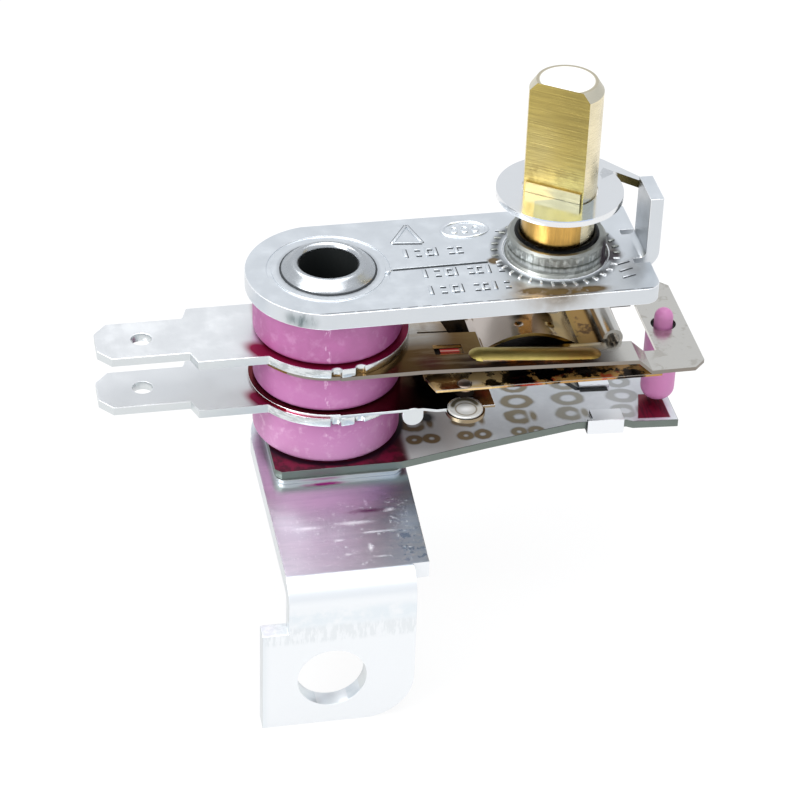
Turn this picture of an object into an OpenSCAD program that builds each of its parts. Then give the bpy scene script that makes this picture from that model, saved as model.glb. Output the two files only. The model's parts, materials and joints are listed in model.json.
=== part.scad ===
// Adjustable bimetal temperature switch of an oven or heater: a riveted stack of
// ceramic rings, spade terminals and spring leaves, set by a brass spindle.
// The origin is the axis of the hollow rivet on the top face of the top plate.
// X runs along the plate to the spindle, Y to the back, Z up along the spindle.

/* [Top plate] */
// Thickness of the top plate
plate_t = 1.45; // [1.2:0.05:1.8]
// Width of the top plate
plate_w = 13.4; // [13:0.1:14]
// Length from the rivet axis to the square end of the plate
plate_len = 26.3; // [26:0.1:27]
// Distance from the rivet axis to the spindle axis
spindle_x = 18.95; // [18.6:0.05:19.2]
// Height of the stop tab above the plate
tab_h = 5.5; // [5.2:0.1:5.7]
// Width of the stop tab, along Y
tab_w = 3.75; // [3:0.05:4]
// Thickness of the stop tab
tab_t = 1.15; // [1:0.05:1.4]

/* [Hollow rivet] */
// Diameter of the hole through the rivet
eyelet_bore_d = 4.8; // [4.6:0.1:5]
// Wall of the rivet's tube
eyelet_wall = 0.4; // [0.3:0.05:0.5]
// Diameter of the rolled heads of the rivet
eyelet_head_d = 7.7; // [7.4:0.1:8]
// Height of the rolled heads of the rivet
eyelet_head_h = 0.85; // [0.6:0.05:1]

/* [Ceramic rings] */
// Outer diameter of the ceramic rings
ring_d = 12.3; // [12:0.1:12.6]
// Height of the upper ring
upper_ring_h = 3.9; // [3.7:0.1:4.2]
// Height of the middle ring
middle_ring_h = 3.4; // [3.3:0.1:3.7]
// Height of the lower ring
lower_ring_h = 4.1; // [4:0.1:4.4]
// Diameter of the spigots that centre the terminals on the rings
spigot_d = 7.4; // [7.2:0.1:7.8]

/* [Terminals] */
// Sheet thickness of the two spade terminals
terminal_t = 0.8; // [0.6:0.05:0.9]
// Diameter of the round pad of each terminal
pad_d = 13.5; // [13.2:0.1:13.8]
// Distance from the rivet axis to the tip of each spade
spade_reach = 19.1; // [18.5:0.1:20]
// Width of the spade
spade_w = 5.1; // [4.6:0.1:5.4]
// Length of the spade, from its shoulder to its tip
spade_len = 7.4; // [7:0.1:8]
// Width of the terminal between its pad and its spade
neck_w = 7.9; // [7:0.1:8.4]
// Diameter of the lock hole in each spade
spade_hole_d = 1.7; // [1.4:0.1:2]
// Distance from the tip of the spade to its lock hole
spade_hole_inset = 3.75; // [3.4:0.05:4]

/* [Spring leaves] */
// Sheet thickness of the upper arm
arm_t = 0.35; // [0.3:0.05:0.4]
// Fall of the upper arm between the stack and its joggle
arm_fall = 0.8; // [0.6:0.05:0.9]
// Depth of the joggle before the end plate
joggle_h = 1.15; // [1:0.05:1.2]
// Distance from the rivet axis to the outer edge of the end plate
end_plate_x = 30.8; // [30.6:0.1:31.2]
// Height of the arch of the bow spring
bow_rise = 1.1; // [0.9:0.05:1.2]
// Sheet thickness of the bow spring
bow_t = 0.3; // [0.2:0.05:0.35]
// Sheet thickness of the contact blade
blade_t = 0.25; // [0.2:0.05:0.3]
// Sheet thickness of the fixed contact leaf
leaf_t = 0.25; // [0.2:0.05:0.3]
// Fall of the contact leaf between the stack and its contact
leaf_fall = 0.25; // [0.15:0.05:0.35]
// Distance from the rivet axis to the free end of the contact leaf
leaf_x = 12.9; // [12.6:0.1:13.2]

/* [Contacts] */
// Distance of the contacts from the rivet axis, along X
contact_x = 10.4; // [10.2:0.1:10.6]
// Distance of the moving contact behind the front edge of the blade
contact_inset = 0.7; // [0.65:0.05:0.9]
// Diameter of the head of the fixed contact
fixed_contact_d = 2.9; // [2.7:0.1:3.1]
// Diameter of the head of the moving contact
moving_contact_d = 1.6; // [1.4:0.1:1.8]
// Height of the head of the moving contact
moving_contact_h = 0.6; // [0.4:0.05:0.7]

/* [Spindle] */
// Diameter of the brass shaft
shaft_d = 6; // [5.8:0.1:6]
// Thickness of the shaft across its flat
shaft_flat = 4.55; // [4.4:0.05:4.7]
// Height of the end of the shaft above the plate
shaft_top = 16; // [14:0.1:18]
// Direction that the flat faces at rest, in degrees from +X
flat_angle = 235.5; // [230:0.5:240]
// Step from the shaft out to its thread
thread_step = 0.4; // [0.3:0.05:0.4]
// Radial play between the spindle and its bush
thread_play = 0.05; // [0.03:0.01:0.08]

/* [Bush and stop disc] */
// Outer diameter of the bush's collar
collar_d = 8.1; // [8:0.1:8.4]
// Height of the bush's collar above the plate
collar_h = 1.95; // [1.8:0.05:2.1]
// Diameter of the stop disc
disc_d = 10.4; // [10:0.1:10.8]
// Thickness of the stop disc
disc_t = 0.55; // [0.5:0.05:0.7]
// Height of the top face of the stop disc above the plate
disc_z = 6.03; // [5.9:0.01:6.1]
// Downward slope of the stop lug, in degrees
lug_slope = 25; // [20:1:28]

/* [Push pin] */
// Distance from the rivet axis to the push pin
pin_x = 28.8; // [28.6:0.1:29]
// Diameter of the push pin's body
pin_d = 2.9; // [2.7:0.1:3]
// Diameter of the push pin's neck
neck_d = 1.6; // [1.5:0.1:1.7]
// Diameter of the hole in the end plate
pin_hole_d = 2.15; // [2.1:0.05:2.3]
// Height of the neck's tip above the end plate
neck_h = 1.5; // [1.3:0.1:1.7]

/* [Bimetal] */
// Thickness of the bimetal strip
bimetal_t = 0.72; // [0.6:0.02:0.8]
// Width of the bimetal strip at the stack
bimetal_root_w = 13.6; // [13.2:0.1:14]
// Width of the bimetal strip at its narrow part
bimetal_waist_w = 6.2; // [5.8:0.1:6.6]
// Width of the bimetal strip at its tip
bimetal_tip_w = 6.7; // [6.4:0.1:7]
// Distance from the rivet axis to the tip of the strip
bimetal_x = 29.9; // [29.8:0.1:30.5]
// Fall of the strip's tip below its root, along a curve
bimetal_fall = 0.78; // [0.5:0.02:0.9]
// Sheet thickness of the clip round the strip
clip_t = 0.35; // [0.3:0.05:0.4]
// Length of the clip along the strip
clip_len = 3.2; // [2.8:0.1:3.4]
// Thickness of the backing plate
backing_t = 0.38; // [0.3:0.02:0.5]

/* [Mounting bracket] */
// Sheet thickness of the mounting bracket
bracket_t = 1.5; // [1.2:0.1:1.6]
// Distance from the rivet axis to the face of the bracket's flange
flange_y = 20.8; // [20:0.1:22]
// Outer radius of the bracket's bend
bend_r = 2; // [1.9:0.1:2.4]
// Depth of the flange below the top of the bracket
flange_drop = 13.95; // [13.5:0.05:15]
// Width of the flange
flange_w = 12.4; // [12.2:0.1:13]
// Diameter of the mounting hole
bracket_hole_d = 5.6; // [5:0.1:6]

/* [Hidden] */
$fn = 64;

// Clearances: a sliding or bolted fit, a gap between bodies that meet, and a tool's overshoot
fit = 0.1;
seat_gap = 0.05;
over = 1;

// Levels of the stack, from the top face of the plate down
upper_ring_z = -plate_t;
upper_terminal_z = upper_ring_z - upper_ring_h;
arm_z = upper_terminal_z - terminal_t;
middle_ring_z = arm_z - arm_t;
leaf_z = middle_ring_z - middle_ring_h;
lower_terminal_z = leaf_z - leaf_t;
lower_ring_z = lower_terminal_z - terminal_t;
bimetal_z = lower_ring_z - lower_ring_h;
backing_z = bimetal_z - bimetal_t;
bracket_z = backing_z - backing_t;
stack_bottom = bracket_z - bracket_t;

eyelet_d = eyelet_bore_d + 2 * eyelet_wall;
stack_hole_d = eyelet_d + 2 * fit;
spigot_hole_d = spigot_d + 2 * fit;

// The spring leaves are a little narrower than the pads that clamp them
arm_w = pad_d - 2 * 0.05;
leaf_root_d = arm_w - 2 * 0.15;
moving_contact_y = contact_inset - arm_w / 2;

// The fixed contact sits in a lobe on the front edge of its leaf
fixed_contact_y = -arm_w / 2;
contact_face_z = leaf_z - leaf_fall;
contact_seat_z = contact_face_z - 0.2;
fixed_shank_d = 1.4;
moving_shank_d = 1.2;

// Upper arm: it slopes from the stack to the joggle, and the end plate lies level
arm_bend_x = 7;
joggle_x = 24.9;
joggle_run = 1.2;
end_plate_z = arm_z - arm_fall - joggle_h;
hinge_x = joggle_x + joggle_run;
blade_z = end_plate_z - arm_t;
leg_w = 2.9;
window_half = arm_w / 2 - leg_w;
bow_w = 2 * (window_half - 2 * fit);
window_start_x = 12.2;
window_end_x = 27.2;
notch_half = 1.4;

// Contact blade: it rises a little from its root to its free end
blade_free_x = 7.3;
blade_rise = 0.22;
blade_open_x = 23.8;
blade_end_x = hinge_x + 0.9;

function arm_top(x) = x < arm_bend_x ? arm_z
    : arm_z - arm_fall * (x - arm_bend_x) / (joggle_x - arm_bend_x);

// Bow spring: the arch stands between two feet and ends in a curl
bow_start_x = 11.8;
arch_start_x = 12.4;
arch_end_x = 20.6;
arch_mid_x = (arch_start_x + arch_end_x) / 2;
bow_end_x = 23.4;
curl_r = 0.85;

function blade_top(x) = blade_z + blade_rise * (hinge_x - x) / (hinge_x - blade_free_x);

function bow_top(x) = let (u = (x - arch_mid_x) / (arch_end_x - arch_start_x) * 2)
    arm_top(x) - arm_t + (abs(u) < 1 ? (bow_rise + arm_t) * (1 - u * u) : 0);

// Bush and spindle: the flat starts level with the underside of the stop disc
thread_d = shaft_d + 2 * thread_step;
seal_d = shaft_d + 1;
flat_z = disc_z - disc_t;
bush_shank_d = 7.2;
bush_head_d = 9;
bush_head_h = 1.2;
bush_bottom = -plate_t - bush_head_h;
seal_h = 0.75;
spindle_end = bush_bottom - 0.35;
thread_end = 0.45;
bead_d = 2.6;
bead_socket = 1.2;
arch_slope = (bow_top(spindle_x) - bow_top(spindle_x + 0.01)) / 0.01;
bead_lift = bead_d / 2 * (sqrt(1 + arch_slope * arch_slope) - 1);
bead_bottom = bow_top(spindle_x) + bead_lift + seat_gap;

tab_x = plate_len - 0.2;
tab_y = -0.12;
lug_root_x = disc_d / 2 - 0.15;
lug_tip_x = 8.05;
lug_tip_w = 0.6;
lug_front_y = tab_y + tab_w / 2 + seat_gap;
lug_len = (lug_tip_x - lug_root_x) / cos(lug_slope);

pin_tip_z = end_plate_z + neck_h;
pin_foot_gap = 0.3;

// Bimetal strip and its backing plate: both reach the same line behind the stack
stack_left = 5.3;
bimetal_root_x = 5.2;
backing_lip = 0.2;
clip_x = 21.9;

// The strip's curve as a table of distance and fall; it is straight where the clip holds it
bend_x = 5.6;
function curve_fall(x) = bimetal_fall * pow((x - bend_x) / (bimetal_x - bend_x), 2);
bimetal_curve = [for (x = [bend_x, 13, clip_x - 0.5, clip_x + clip_len + 0.3, bimetal_x])
    [x, curve_fall(x)]];

function bimetal_top(x) = bimetal_z - lookup(x, bimetal_curve);

flange_left = -8.5;
flange_hole_x = -2.85;
flange_hole_drop = 9.35;

// A sheet that follows a line of [x, z] points on its top face, between two Y values
module leaf_sheet(top, t, y0, y1) {
    last = len(top) - 1;
    bottom = [for (i = [last:-1:0]) [top[i].x, top[i].y - t]];
    translate([0, y1, 0])
        rotate([90, 0, 0])
            linear_extrude(y1 - y0)
                polygon(concat(top, bottom));
}

// A vertical prism over the plane outline that it is given, between two levels
module slab(z_top, t) {
    translate([0, 0, z_top - t])
        linear_extrude(t)
            children();
}

// A round bar or hole along Z
module rod(d, z0, z1) {
    translate([0, 0, z0])
        cylinder(d = d, h = z1 - z0);
}

// A square with its four corners cut at 45 degrees
module cut_square(x0, x1, w, cut) {
    polygon([[x0 + cut, -w / 2], [x1 - cut, -w / 2], [x1, -w / 2 + cut], [x1, w / 2 - cut],
             [x1 - cut, w / 2], [x0 + cut, w / 2], [x0, w / 2 - cut], [x0, -w / 2 + cut]]);
}

// A square with four round corners, drawn from circles and bars
module round_square(x0, x1, w, r) {
    translate([x0 + r, -w / 2])
        square([x1 - x0 - 2 * r, w]);
    translate([x0, -w / 2 + r])
        square([x1 - x0, w - 2 * r]);
    for (x = [x0 + r, x1 - r], y = [-w / 2 + r, w / 2 - r])
        translate([x, y])
            circle(r);
}

// Plan of the plate: a round end a little wider than its straight edges, and a square end
module plate_outline() {
    front_r = 1.3;
    back_cut = 0.6;
    half = plate_w / 2;
    round_d = plate_w + 0.2;
    difference() {
        union() {
            intersection() {
                circle(d = round_d);
                square([round_d, plate_w], center = true);
            }
            translate([plate_len - front_r, front_r - half])
                circle(front_r);
            polygon([[0, -half], [plate_len - front_r, -half], [plate_len, front_r - half],
                     [plate_len, half - back_cut], [plate_len - back_cut, half], [0, half]]);
        }
        for (side = [-1, 1])
            translate([plate_len - 1.3, tab_y + side * (tab_w / 2 + 0.35) - 0.35])
                square([2, 0.7]);
    }
}

// Section of the stop tab: it leaves the plate level and bends up
module tab_section() {
    inner_r = 0.5;
    outer_r = inner_r + tab_t;
    bend_x = tab_x - inner_r;
    translate([bend_x - over, -tab_t])
        square([over, tab_t]);
    translate([tab_x, inner_r])
        square([tab_t, tab_h - inner_r]);
    translate([bend_x, inner_r])
        intersection() {
            difference() {
                circle(outer_r);
                circle(inner_r);
            }
            translate([0, -outer_r])
                square(outer_r);
        }
}

module top_plate() {
    groove_r = 4.85;
    groove_w = 0.4;
    groove_depth = 0.1;
    color("#d7dee4")
        difference() {
            union() {
                slab(0, plate_t)
                    plate_outline();
                translate([0, tab_y + tab_w / 2, 0])
                    rotate([90, 0, 0])
                        linear_extrude(tab_w)
                            tab_section();
            }
            rod(stack_hole_d, -plate_t - over, over);
            translate([spindle_x, 0, 0])
                rod(bush_shank_d, -plate_t - over, over);
            difference() {
                rod(2 * groove_r + groove_w, -groove_depth, over);
                rod(2 * groove_r - groove_w, -groove_depth - over, 2 * over);
            }
        }
}

module spindle_bush() {
    color("#9a958c")
        translate([spindle_x, 0, 0])
            difference() {
                union() {
                    rod(collar_d, 0, collar_h - 0.2);
                    translate([0, 0, collar_h - 0.2])
                        cylinder(d1 = collar_d, d2 = collar_d - 0.4, h = 0.2);
                    cylinder(d1 = collar_d + 0.4, d2 = collar_d, h = 0.2);
                    rod(bush_shank_d, -plate_t, 0);
                    rod(bush_head_d, bush_bottom, -plate_t);
                }
                rod(thread_d + 2 * thread_play, bush_bottom - over, collar_h + over);
                rod(seal_d, collar_h - seal_h, collar_h + over);
            }
}

module seal_ring() {
    seal_r = seal_d / 2;
    shaft_r = shaft_d / 2 + thread_play;
    wall = seal_r - shaft_r;
    color("#11151a")
        translate([spindle_x, 0, collar_h - seal_h])
            rotate_extrude() {
                translate([shaft_r, 0])
                    square([wall, seal_h - wall / 2]);
                translate([shaft_r + wall / 2, seal_h - wall / 2])
                    circle(wall / 2);
            }
}

module spindle() {
    chamfer = 0.8;
    color("#c9a84e")
        translate([spindle_x, 0, 0])
            difference() {
                union() {
                    rod(thread_d, spindle_end, thread_end);
                    rod(shaft_d, thread_end, shaft_top - chamfer);
                    translate([0, 0, shaft_top - chamfer])
                        cylinder(d1 = shaft_d, d2 = shaft_d - 1.3 * chamfer, h = chamfer);
                }
                rotate(flat_angle)
                    translate([shaft_flat - shaft_d / 2, -shaft_d, flat_z])
                        cube([shaft_d, 2 * shaft_d, shaft_top]);
                rod(bead_d, spindle_end - over, spindle_end + bead_socket);
            }
}

module stop_disc() {
    lug_t = disc_t + 0.1;
    color("#dfe3e6")
        translate([spindle_x, 0, flat_z])
            difference() {
                union() {
                    cylinder(d = disc_d, h = disc_t);
                    // The lug leaves the disc, tapers and slopes down behind the stop tab
                    translate([lug_root_x, 0, 0])
                        rotate([0, lug_slope, 0])
                            translate([0, 0, disc_t - lug_t])
                                linear_extrude(lug_t)
                                    polygon([[0, lug_front_y], [lug_len, lug_front_y],
                                             [lug_len, lug_front_y + lug_tip_w],
                                             [-0.9, 3.4], [-1.4, 3.4], [-1.4, lug_front_y]]);
                }
                // The hole fits the flat of the shaft and is a little wide of its round side
                rotate(flat_angle)
                    intersection() {
                        translate([0, 0, -over])
                            cylinder(d = shaft_d + 2 * fit, h = disc_t + 2 * over);
                        translate([-shaft_d, -shaft_d, -over])
                            cube([shaft_flat + shaft_d / 2, 2 * shaft_d, disc_t + 2 * over]);
                    }
            }
}

module thrust_bead() {
    color("#e7dfd2")
        translate([spindle_x, 0, bead_bottom])
            rotate_extrude()
                intersection() {
                    union() {
                        translate([0, bead_d / 2])
                            circle(d = bead_d);
                        translate([0, bead_d / 2])
                            square([bead_d / 2, spindle_end + bead_socket - bead_bottom - bead_d / 2]);
                    }
                    square([bead_d, 2 * (spindle_end - bead_bottom) + bead_d]);
                }
}

// Half section of the hollow rivet: its head slopes out from a crest beside the bore
module eyelet_section() {
    bore_r = eyelet_bore_d / 2;
    head_r = eyelet_head_d / 2;
    tail_r = (head_r - bore_r) / 2 - 0.1;
    top = eyelet_head_h;
    head = [[bore_r, 0.5 * top], [bore_r + 0.08, 0.75 * top], [bore_r + 0.22, 0.93 * top],
            [bore_r + 0.4, top], [bore_r + 0.6, 0.95 * top], [bore_r + 0.8, 0.8 * top],
            [head_r - 0.25, 0.38 * top], [head_r - 0.08, 0.26 * top], [head_r, 0.13 * top],
            [head_r, 0], [bore_r + eyelet_wall, 0], [bore_r + eyelet_wall, stack_bottom]];
    tail = [for (a = [0:-20:-180])
        [bore_r + tail_r * (1 + cos(a)), stack_bottom + tail_r * sin(a)]];
    polygon(concat(head, tail));
}

module eyelet() {
    color("#cdd3d8")
        rotate_extrude()
            eyelet_section();
}

// A ceramic ring with chamfered rims, and a spigot on its top where it has one
module ceramic_ring(z_top, h, spigot_h) {
    rim = 0.25;
    r = ring_d / 2;
    bore_r = stack_hole_d / 2;
    spigot_r = spigot_d / 2;
    spigot = spigot_h > 0
        ? [[bore_r, z_top + spigot_h], [spigot_r, z_top + spigot_h], [spigot_r, z_top]]
        : [[bore_r, z_top]];
    color("#cf84bb")
        rotate_extrude()
            polygon(concat(spigot, [[r - rim, z_top], [r, z_top - rim], [r, z_top - h + rim],
                                    [r - rim, z_top - h], [bore_r, z_top - h]]));
}

module upper_ring() {
    ceramic_ring(upper_ring_z, upper_ring_h, 0);
}

module middle_ring() {
    ceramic_ring(middle_ring_z, middle_ring_h, arm_t + terminal_t - fit);
}

module lower_ring() {
    ceramic_ring(lower_ring_z, lower_ring_h, leaf_t + terminal_t - fit);
}

// Plan of a spade terminal: round pad, neck, shoulders and a spade with a cut tip
module terminal_outline() {
    tip = -spade_reach;
    shoulder = tip + spade_len;
    cut_x = 1.1;
    cut_y = 1.3;
    difference() {
        union() {
            circle(d = pad_d);
            translate([shoulder + 0.5, -neck_w / 2])
                square([-shoulder - 0.5, neck_w]);
            polygon([[shoulder + 0.5, -neck_w / 2], [shoulder + 0.5, neck_w / 2],
                     [shoulder, spade_w / 2], [tip + cut_x, spade_w / 2],
                     [tip, spade_w / 2 - cut_y], [tip, -spade_w / 2 + cut_y],
                     [tip + cut_x, -spade_w / 2], [shoulder, -spade_w / 2]]);
        }
        circle(d = spigot_hole_d);
        translate([tip + spade_hole_inset, 0])
            circle(d = spade_hole_d);
        // Two notches left in the front of the pad by its tooling
        for (a = [-93, -76])
            rotate(a)
                translate([pad_d / 2 + 0.1, 0])
                    circle(0.45);
    }
}

module upper_terminal() {
    color("#e3e7ea")
        slab(upper_terminal_z, terminal_t)
            terminal_outline();
}

module lower_terminal() {
    color("#e3e7ea")
        slab(lower_terminal_z, terminal_t)
            terminal_outline();
}

module contact_leaf() {
    lobe_d = fixed_contact_d + 0.36;
    lobe_bottom = contact_seat_z - 0.3;
    bend_x = pad_d / 2 + 0.15;
    lug_r = 0.85;
    lug_x = 6.05;
    lug_z = contact_seat_z - 0.3;
    sheet_top = [[-leaf_root_d, leaf_z], [bend_x, leaf_z], [bend_x + 1.1, contact_face_z],
                 [leaf_x, contact_face_z]];
    color("#cfc9a8")
        difference() {
            union() {
                intersection() {
                    leaf_sheet(sheet_top, leaf_t, -arm_w, arm_w);
                    slab(leaf_z + over, leaf_fall + leaf_t + 2 * over)
                        difference() {
                            union() {
                                circle(d = leaf_root_d);
                                translate([0, -arm_w / 2])
                                    square([leaf_x, arm_w]);
                            }
                            circle(d = spigot_hole_d);
                        }
                }
                translate([contact_x, fixed_contact_y, 0])
                    rod(lobe_d, lobe_bottom, contact_seat_z + 0.05);
                // A round lug hangs from the front edge beside the pad of the terminal
                translate([lug_x, leaf_t - arm_w / 2, 0])
                    rotate([90, 0, 0])
                        linear_extrude(leaf_t) {
                            translate([0, lug_z])
                                circle(lug_r);
                            translate([-lug_r, lug_z])
                                square([2 * lug_r, leaf_z - leaf_t / 2 - lug_z]);
                        }
            }
            translate([contact_x, fixed_contact_y, 0]) {
                rod(fixed_contact_d, contact_seat_z, contact_face_z + over);
                rod(fixed_shank_d, lobe_bottom - over, contact_face_z + over);
            }
        }
}

module upper_arm() {
    rib_r = 1.5;
    rib_ends = [[11.9, 0.95, 0.42], [21, 1.5, 0.3]];
    far = end_plate_x;
    slot = [8.2, 10.6, -4.5, -3.1];
    sheet_top = [[-leaf_root_d, arm_z], [arm_bend_x, arm_z], [joggle_x, arm_top(joggle_x)],
                 [hinge_x, end_plate_z], [far, end_plate_z]];
    color("#8d7134") {
        intersection() {
            leaf_sheet(sheet_top, arm_t, -arm_w, arm_w);
            translate([0, 0, blade_z - over])
                linear_extrude(-blade_z)
                    difference() {
                        union() {
                            circle(d = leaf_root_d);
                            intersection() {
                                cut_square(-arm_w, far, arm_w, 1);
                                translate([0, -arm_w])
                                    square([far, 2 * arm_w]);
                            }
                        }
                        circle(d = spigot_hole_d);
                        translate([window_start_x, -window_half])
                            square([window_end_x - window_start_x, 2 * window_half]);
                        translate([pin_x, 0])
                            circle(d = pin_hole_d);
                        // Notch before the bow spring, with a slit along each side of its tongue
                        polygon([[9.4, notch_half], [9.9, -notch_half],
                                 [window_start_x + fit, -notch_half],
                                 [window_start_x + fit, notch_half]]);
                        for (y = [-1.3, 1.1])
                            translate([7.3, y])
                                square([2.6, 0.2]);
                        translate([slot[0], slot[2]])
                            square([slot[1] - slot[0], slot[3] - slot[2]]);
                    }
        }
        // A narrow tongue stands in the slot of the front leg
        leaf_sheet([[slot[0] + 0.5, arm_top(slot[0]) - 0.1], [slot[1] + 0.3, arm_top(slot[1]) - 0.1]],
                   arm_t, slot[2] + 0.3, slot[3] - 0.5);
        // A long stiffening rib stands on each leg of the arm
        for (side = [-1, 1])
            intersection() {
                hull()
                    for (end = rib_ends)
                        translate([end.x, side * (window_half + end.y),
                                   arm_top(end.x) + end.z - rib_r])
                            sphere(rib_r, $fn = 32);
                leaf_sheet([[0, arm_z + over], [arm_bend_x, arm_z + over],
                            [joggle_x, arm_top(joggle_x) + over]], over + arm_t / 2,
                           -arm_w, arm_w);
            }
    }
}

module bow_spring() {
    steps = 16;
    dimple_step = 0.9;
    bar_half = window_half + 1;
    arch = [for (i = [0:steps])
        let (x = arch_start_x + (arch_end_x - arch_start_x) * i / steps) [x, bow_top(x)]];
    whole = concat([[bow_start_x, bow_top(bow_start_x)]], arch, [[bow_end_x, bow_top(bow_end_x)]]);
    curl_z = bow_top(bow_end_x) + curl_r - bow_t;
    foot = [[bow_start_x, bow_top(bow_start_x)], [arch_start_x, bow_top(arch_start_x)]];
    color("#a08545")
        difference() {
            union() {
                leaf_sheet(whole, bow_t, -bow_w / 2, bow_w / 2);
                // The cross bar lies under both legs of the arm
                leaf_sheet(foot, bow_t, -bar_half, bar_half);
                // Three quarters of a turn at the free end
                translate([bow_end_x, bow_w / 2, curl_z])
                    rotate([90, 0, 0])
                        linear_extrude(bow_w)
                            difference() {
                                circle(curl_r);
                                circle(curl_r - bow_t);
                                translate([-2 * curl_r, -2 * curl_r])
                                    square(2 * curl_r);
                            }
            }
            for (x = [arch_mid_x - dimple_step, arch_mid_x + 2.2 * dimple_step])
                translate([x, -bow_w / 2 + 1.5, bow_top(x) + 0.5])
                    sphere(0.65);
        }
}

module contact_blade() {
    front_x = blade_free_x + 0.6;
    front_y = 1.9 - arm_w / 2;
    color("#7d6232")
        intersection() {
            leaf_sheet([[0, blade_top(0)], [hinge_x, blade_z], [blade_end_x, blade_z]], blade_t,
                       -arm_w, arm_w);
            slab(blade_z + over, 2 * over)
                difference() {
                    polygon([[front_x, -arm_w / 2], [blade_end_x, -arm_w / 2],
                             [blade_end_x, arm_w / 2], [blade_free_x, arm_w / 2],
                             [blade_free_x, front_y]]);
                    // The blade is open under the joggle, so that it flexes in two legs
                    translate([blade_open_x, -window_half])
                        square([blade_end_x + over - blade_open_x, 2 * window_half]);
                    translate([contact_x, moving_contact_y])
                        circle(d = moving_shank_d);
                }
        }
}

module moving_contact() {
    under = blade_top(contact_x) - blade_t - 0.02;
    color("#3d3f42")
        translate([contact_x, moving_contact_y, 0]) {
            rod(moving_contact_d, under - moving_contact_h, under);
            rod(moving_shank_d, under, blade_top(contact_x));
            translate([0, 0, blade_top(contact_x)])
                cylinder(d1 = moving_shank_d, d2 = moving_shank_d - 0.3, h = 0.06);
        }
}

module fixed_contact() {
    tail_h = 0.35;
    tail_z = contact_seat_z - 0.3;
    color("#dcdfe2")
        translate([contact_x, fixed_contact_y, 0]) {
            rod(fixed_contact_d, contact_seat_z, contact_face_z - 0.06);
            translate([0, 0, contact_face_z - 0.06])
                cylinder(d1 = fixed_contact_d, d2 = fixed_contact_d - 0.3, h = 0.06);
            rod(fixed_shank_d, tail_z, contact_seat_z);
            rod(fixed_shank_d + 0.6, tail_z - tail_h, tail_z);
        }
}

module push_pin() {
    body_top = blade_z - seat_gap;
    foot_z = bimetal_top(pin_x) + pin_foot_gap;
    body_r = pin_d / 2;
    neck_r = neck_d / 2;
    foot_r = 1.1;
    color("#d493c4")
        translate([pin_x, 0, 0])
            rotate_extrude() {
                translate([0, foot_z])
                    square([body_r - foot_r, body_top - foot_z]);
                translate([0, foot_z + foot_r])
                    square([body_r, body_top - foot_z - foot_r]);
                intersection() {
                    translate([body_r - foot_r, foot_z + foot_r])
                        circle(foot_r);
                    translate([0, foot_z])
                        square([body_r, foot_r]);
                }
                translate([0, body_top])
                    square([neck_r, pin_tip_z - neck_r - body_top]);
                intersection() {
                    translate([0, pin_tip_z - neck_r])
                        circle(neck_r);
                    translate([0, body_top])
                        square([body_r, pin_tip_z - body_top]);
                }
            }
}

// Plan of the bimetal strip: broad at the stack, tapered to a waist, then a square tip
module bimetal_outline() {
    waist_x = clip_x - 0.8;
    tip_x = clip_x + clip_len + 0.3;
    cut = 0.5;
    half = [bimetal_root_w / 2, bimetal_waist_w / 2, bimetal_tip_w / 2];
    upper = [[-stack_left, half[0] - cut], [-stack_left + cut, half[0]],
             [bimetal_root_x, half[0]],
             [waist_x, half[1]], [tip_x, half[1]], [tip_x + cut, half[2]],
             [bimetal_x, half[2]]];
    last = len(upper) - 1;
    polygon(concat(upper, [for (i = [last:-1:0]) [upper[i].x, -upper[i].y]]));
}

module bimetal_strip() {
    line = [for (point = bimetal_curve) [point.x, bimetal_z - point.y]];
    color("#b4bcc4")
        intersection() {
            leaf_sheet(concat([[-stack_left - over, bimetal_z]], line), bimetal_t,
                       -bimetal_root_w, bimetal_root_w);
            slab(bimetal_z + over, bimetal_t + bimetal_fall + 2 * over)
                difference() {
                    bimetal_outline();
                    circle(d = stack_hole_d);
                }
        }
}

// One wall of the clip: it follows the strip from a start to the clip's end, raised by a lift
module clip_wall(start, lift, t, y0, y1) {
    end = clip_x + clip_len;
    leaf_sheet([[start, bimetal_top(start) + lift], [end, bimetal_top(end) + lift]], t, y0, y1);
}

module bimetal_clip() {
    lip = 1.3;
    half = bimetal_waist_w / 2;
    color("#eceff2") {
        for (side = [-1, 1])
            mirror([0, side < 0 ? 1 : 0, 0]) {
                clip_wall(clip_x, clip_t, bimetal_t + 2 * clip_t, half, half + clip_t);
                clip_wall(clip_x + 0.5, clip_t, clip_t, half - lip, half);
            }
        clip_wall(clip_x, -bimetal_t, clip_t, -half, half);
    }
}

module backing_plate() {
    corner_r = 1;
    color("#9aa0a5")
        slab(backing_z, backing_t)
            difference() {
                round_square(-stack_left, bimetal_root_x + backing_lip,
                             bimetal_root_w + 2 * backing_lip, corner_r);
                circle(d = stack_hole_d);
            }
}

// Section of the bracket across its bend, in [y, z] from the flange's face and top
module bend_section() {
    inner_r = bend_r - bracket_t;
    translate([bend_r, -bend_r])
        intersection() {
            difference() {
                circle(bend_r);
                circle(inner_r);
            }
            translate([-bend_r, 0])
                square(bend_r);
        }
}

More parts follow.
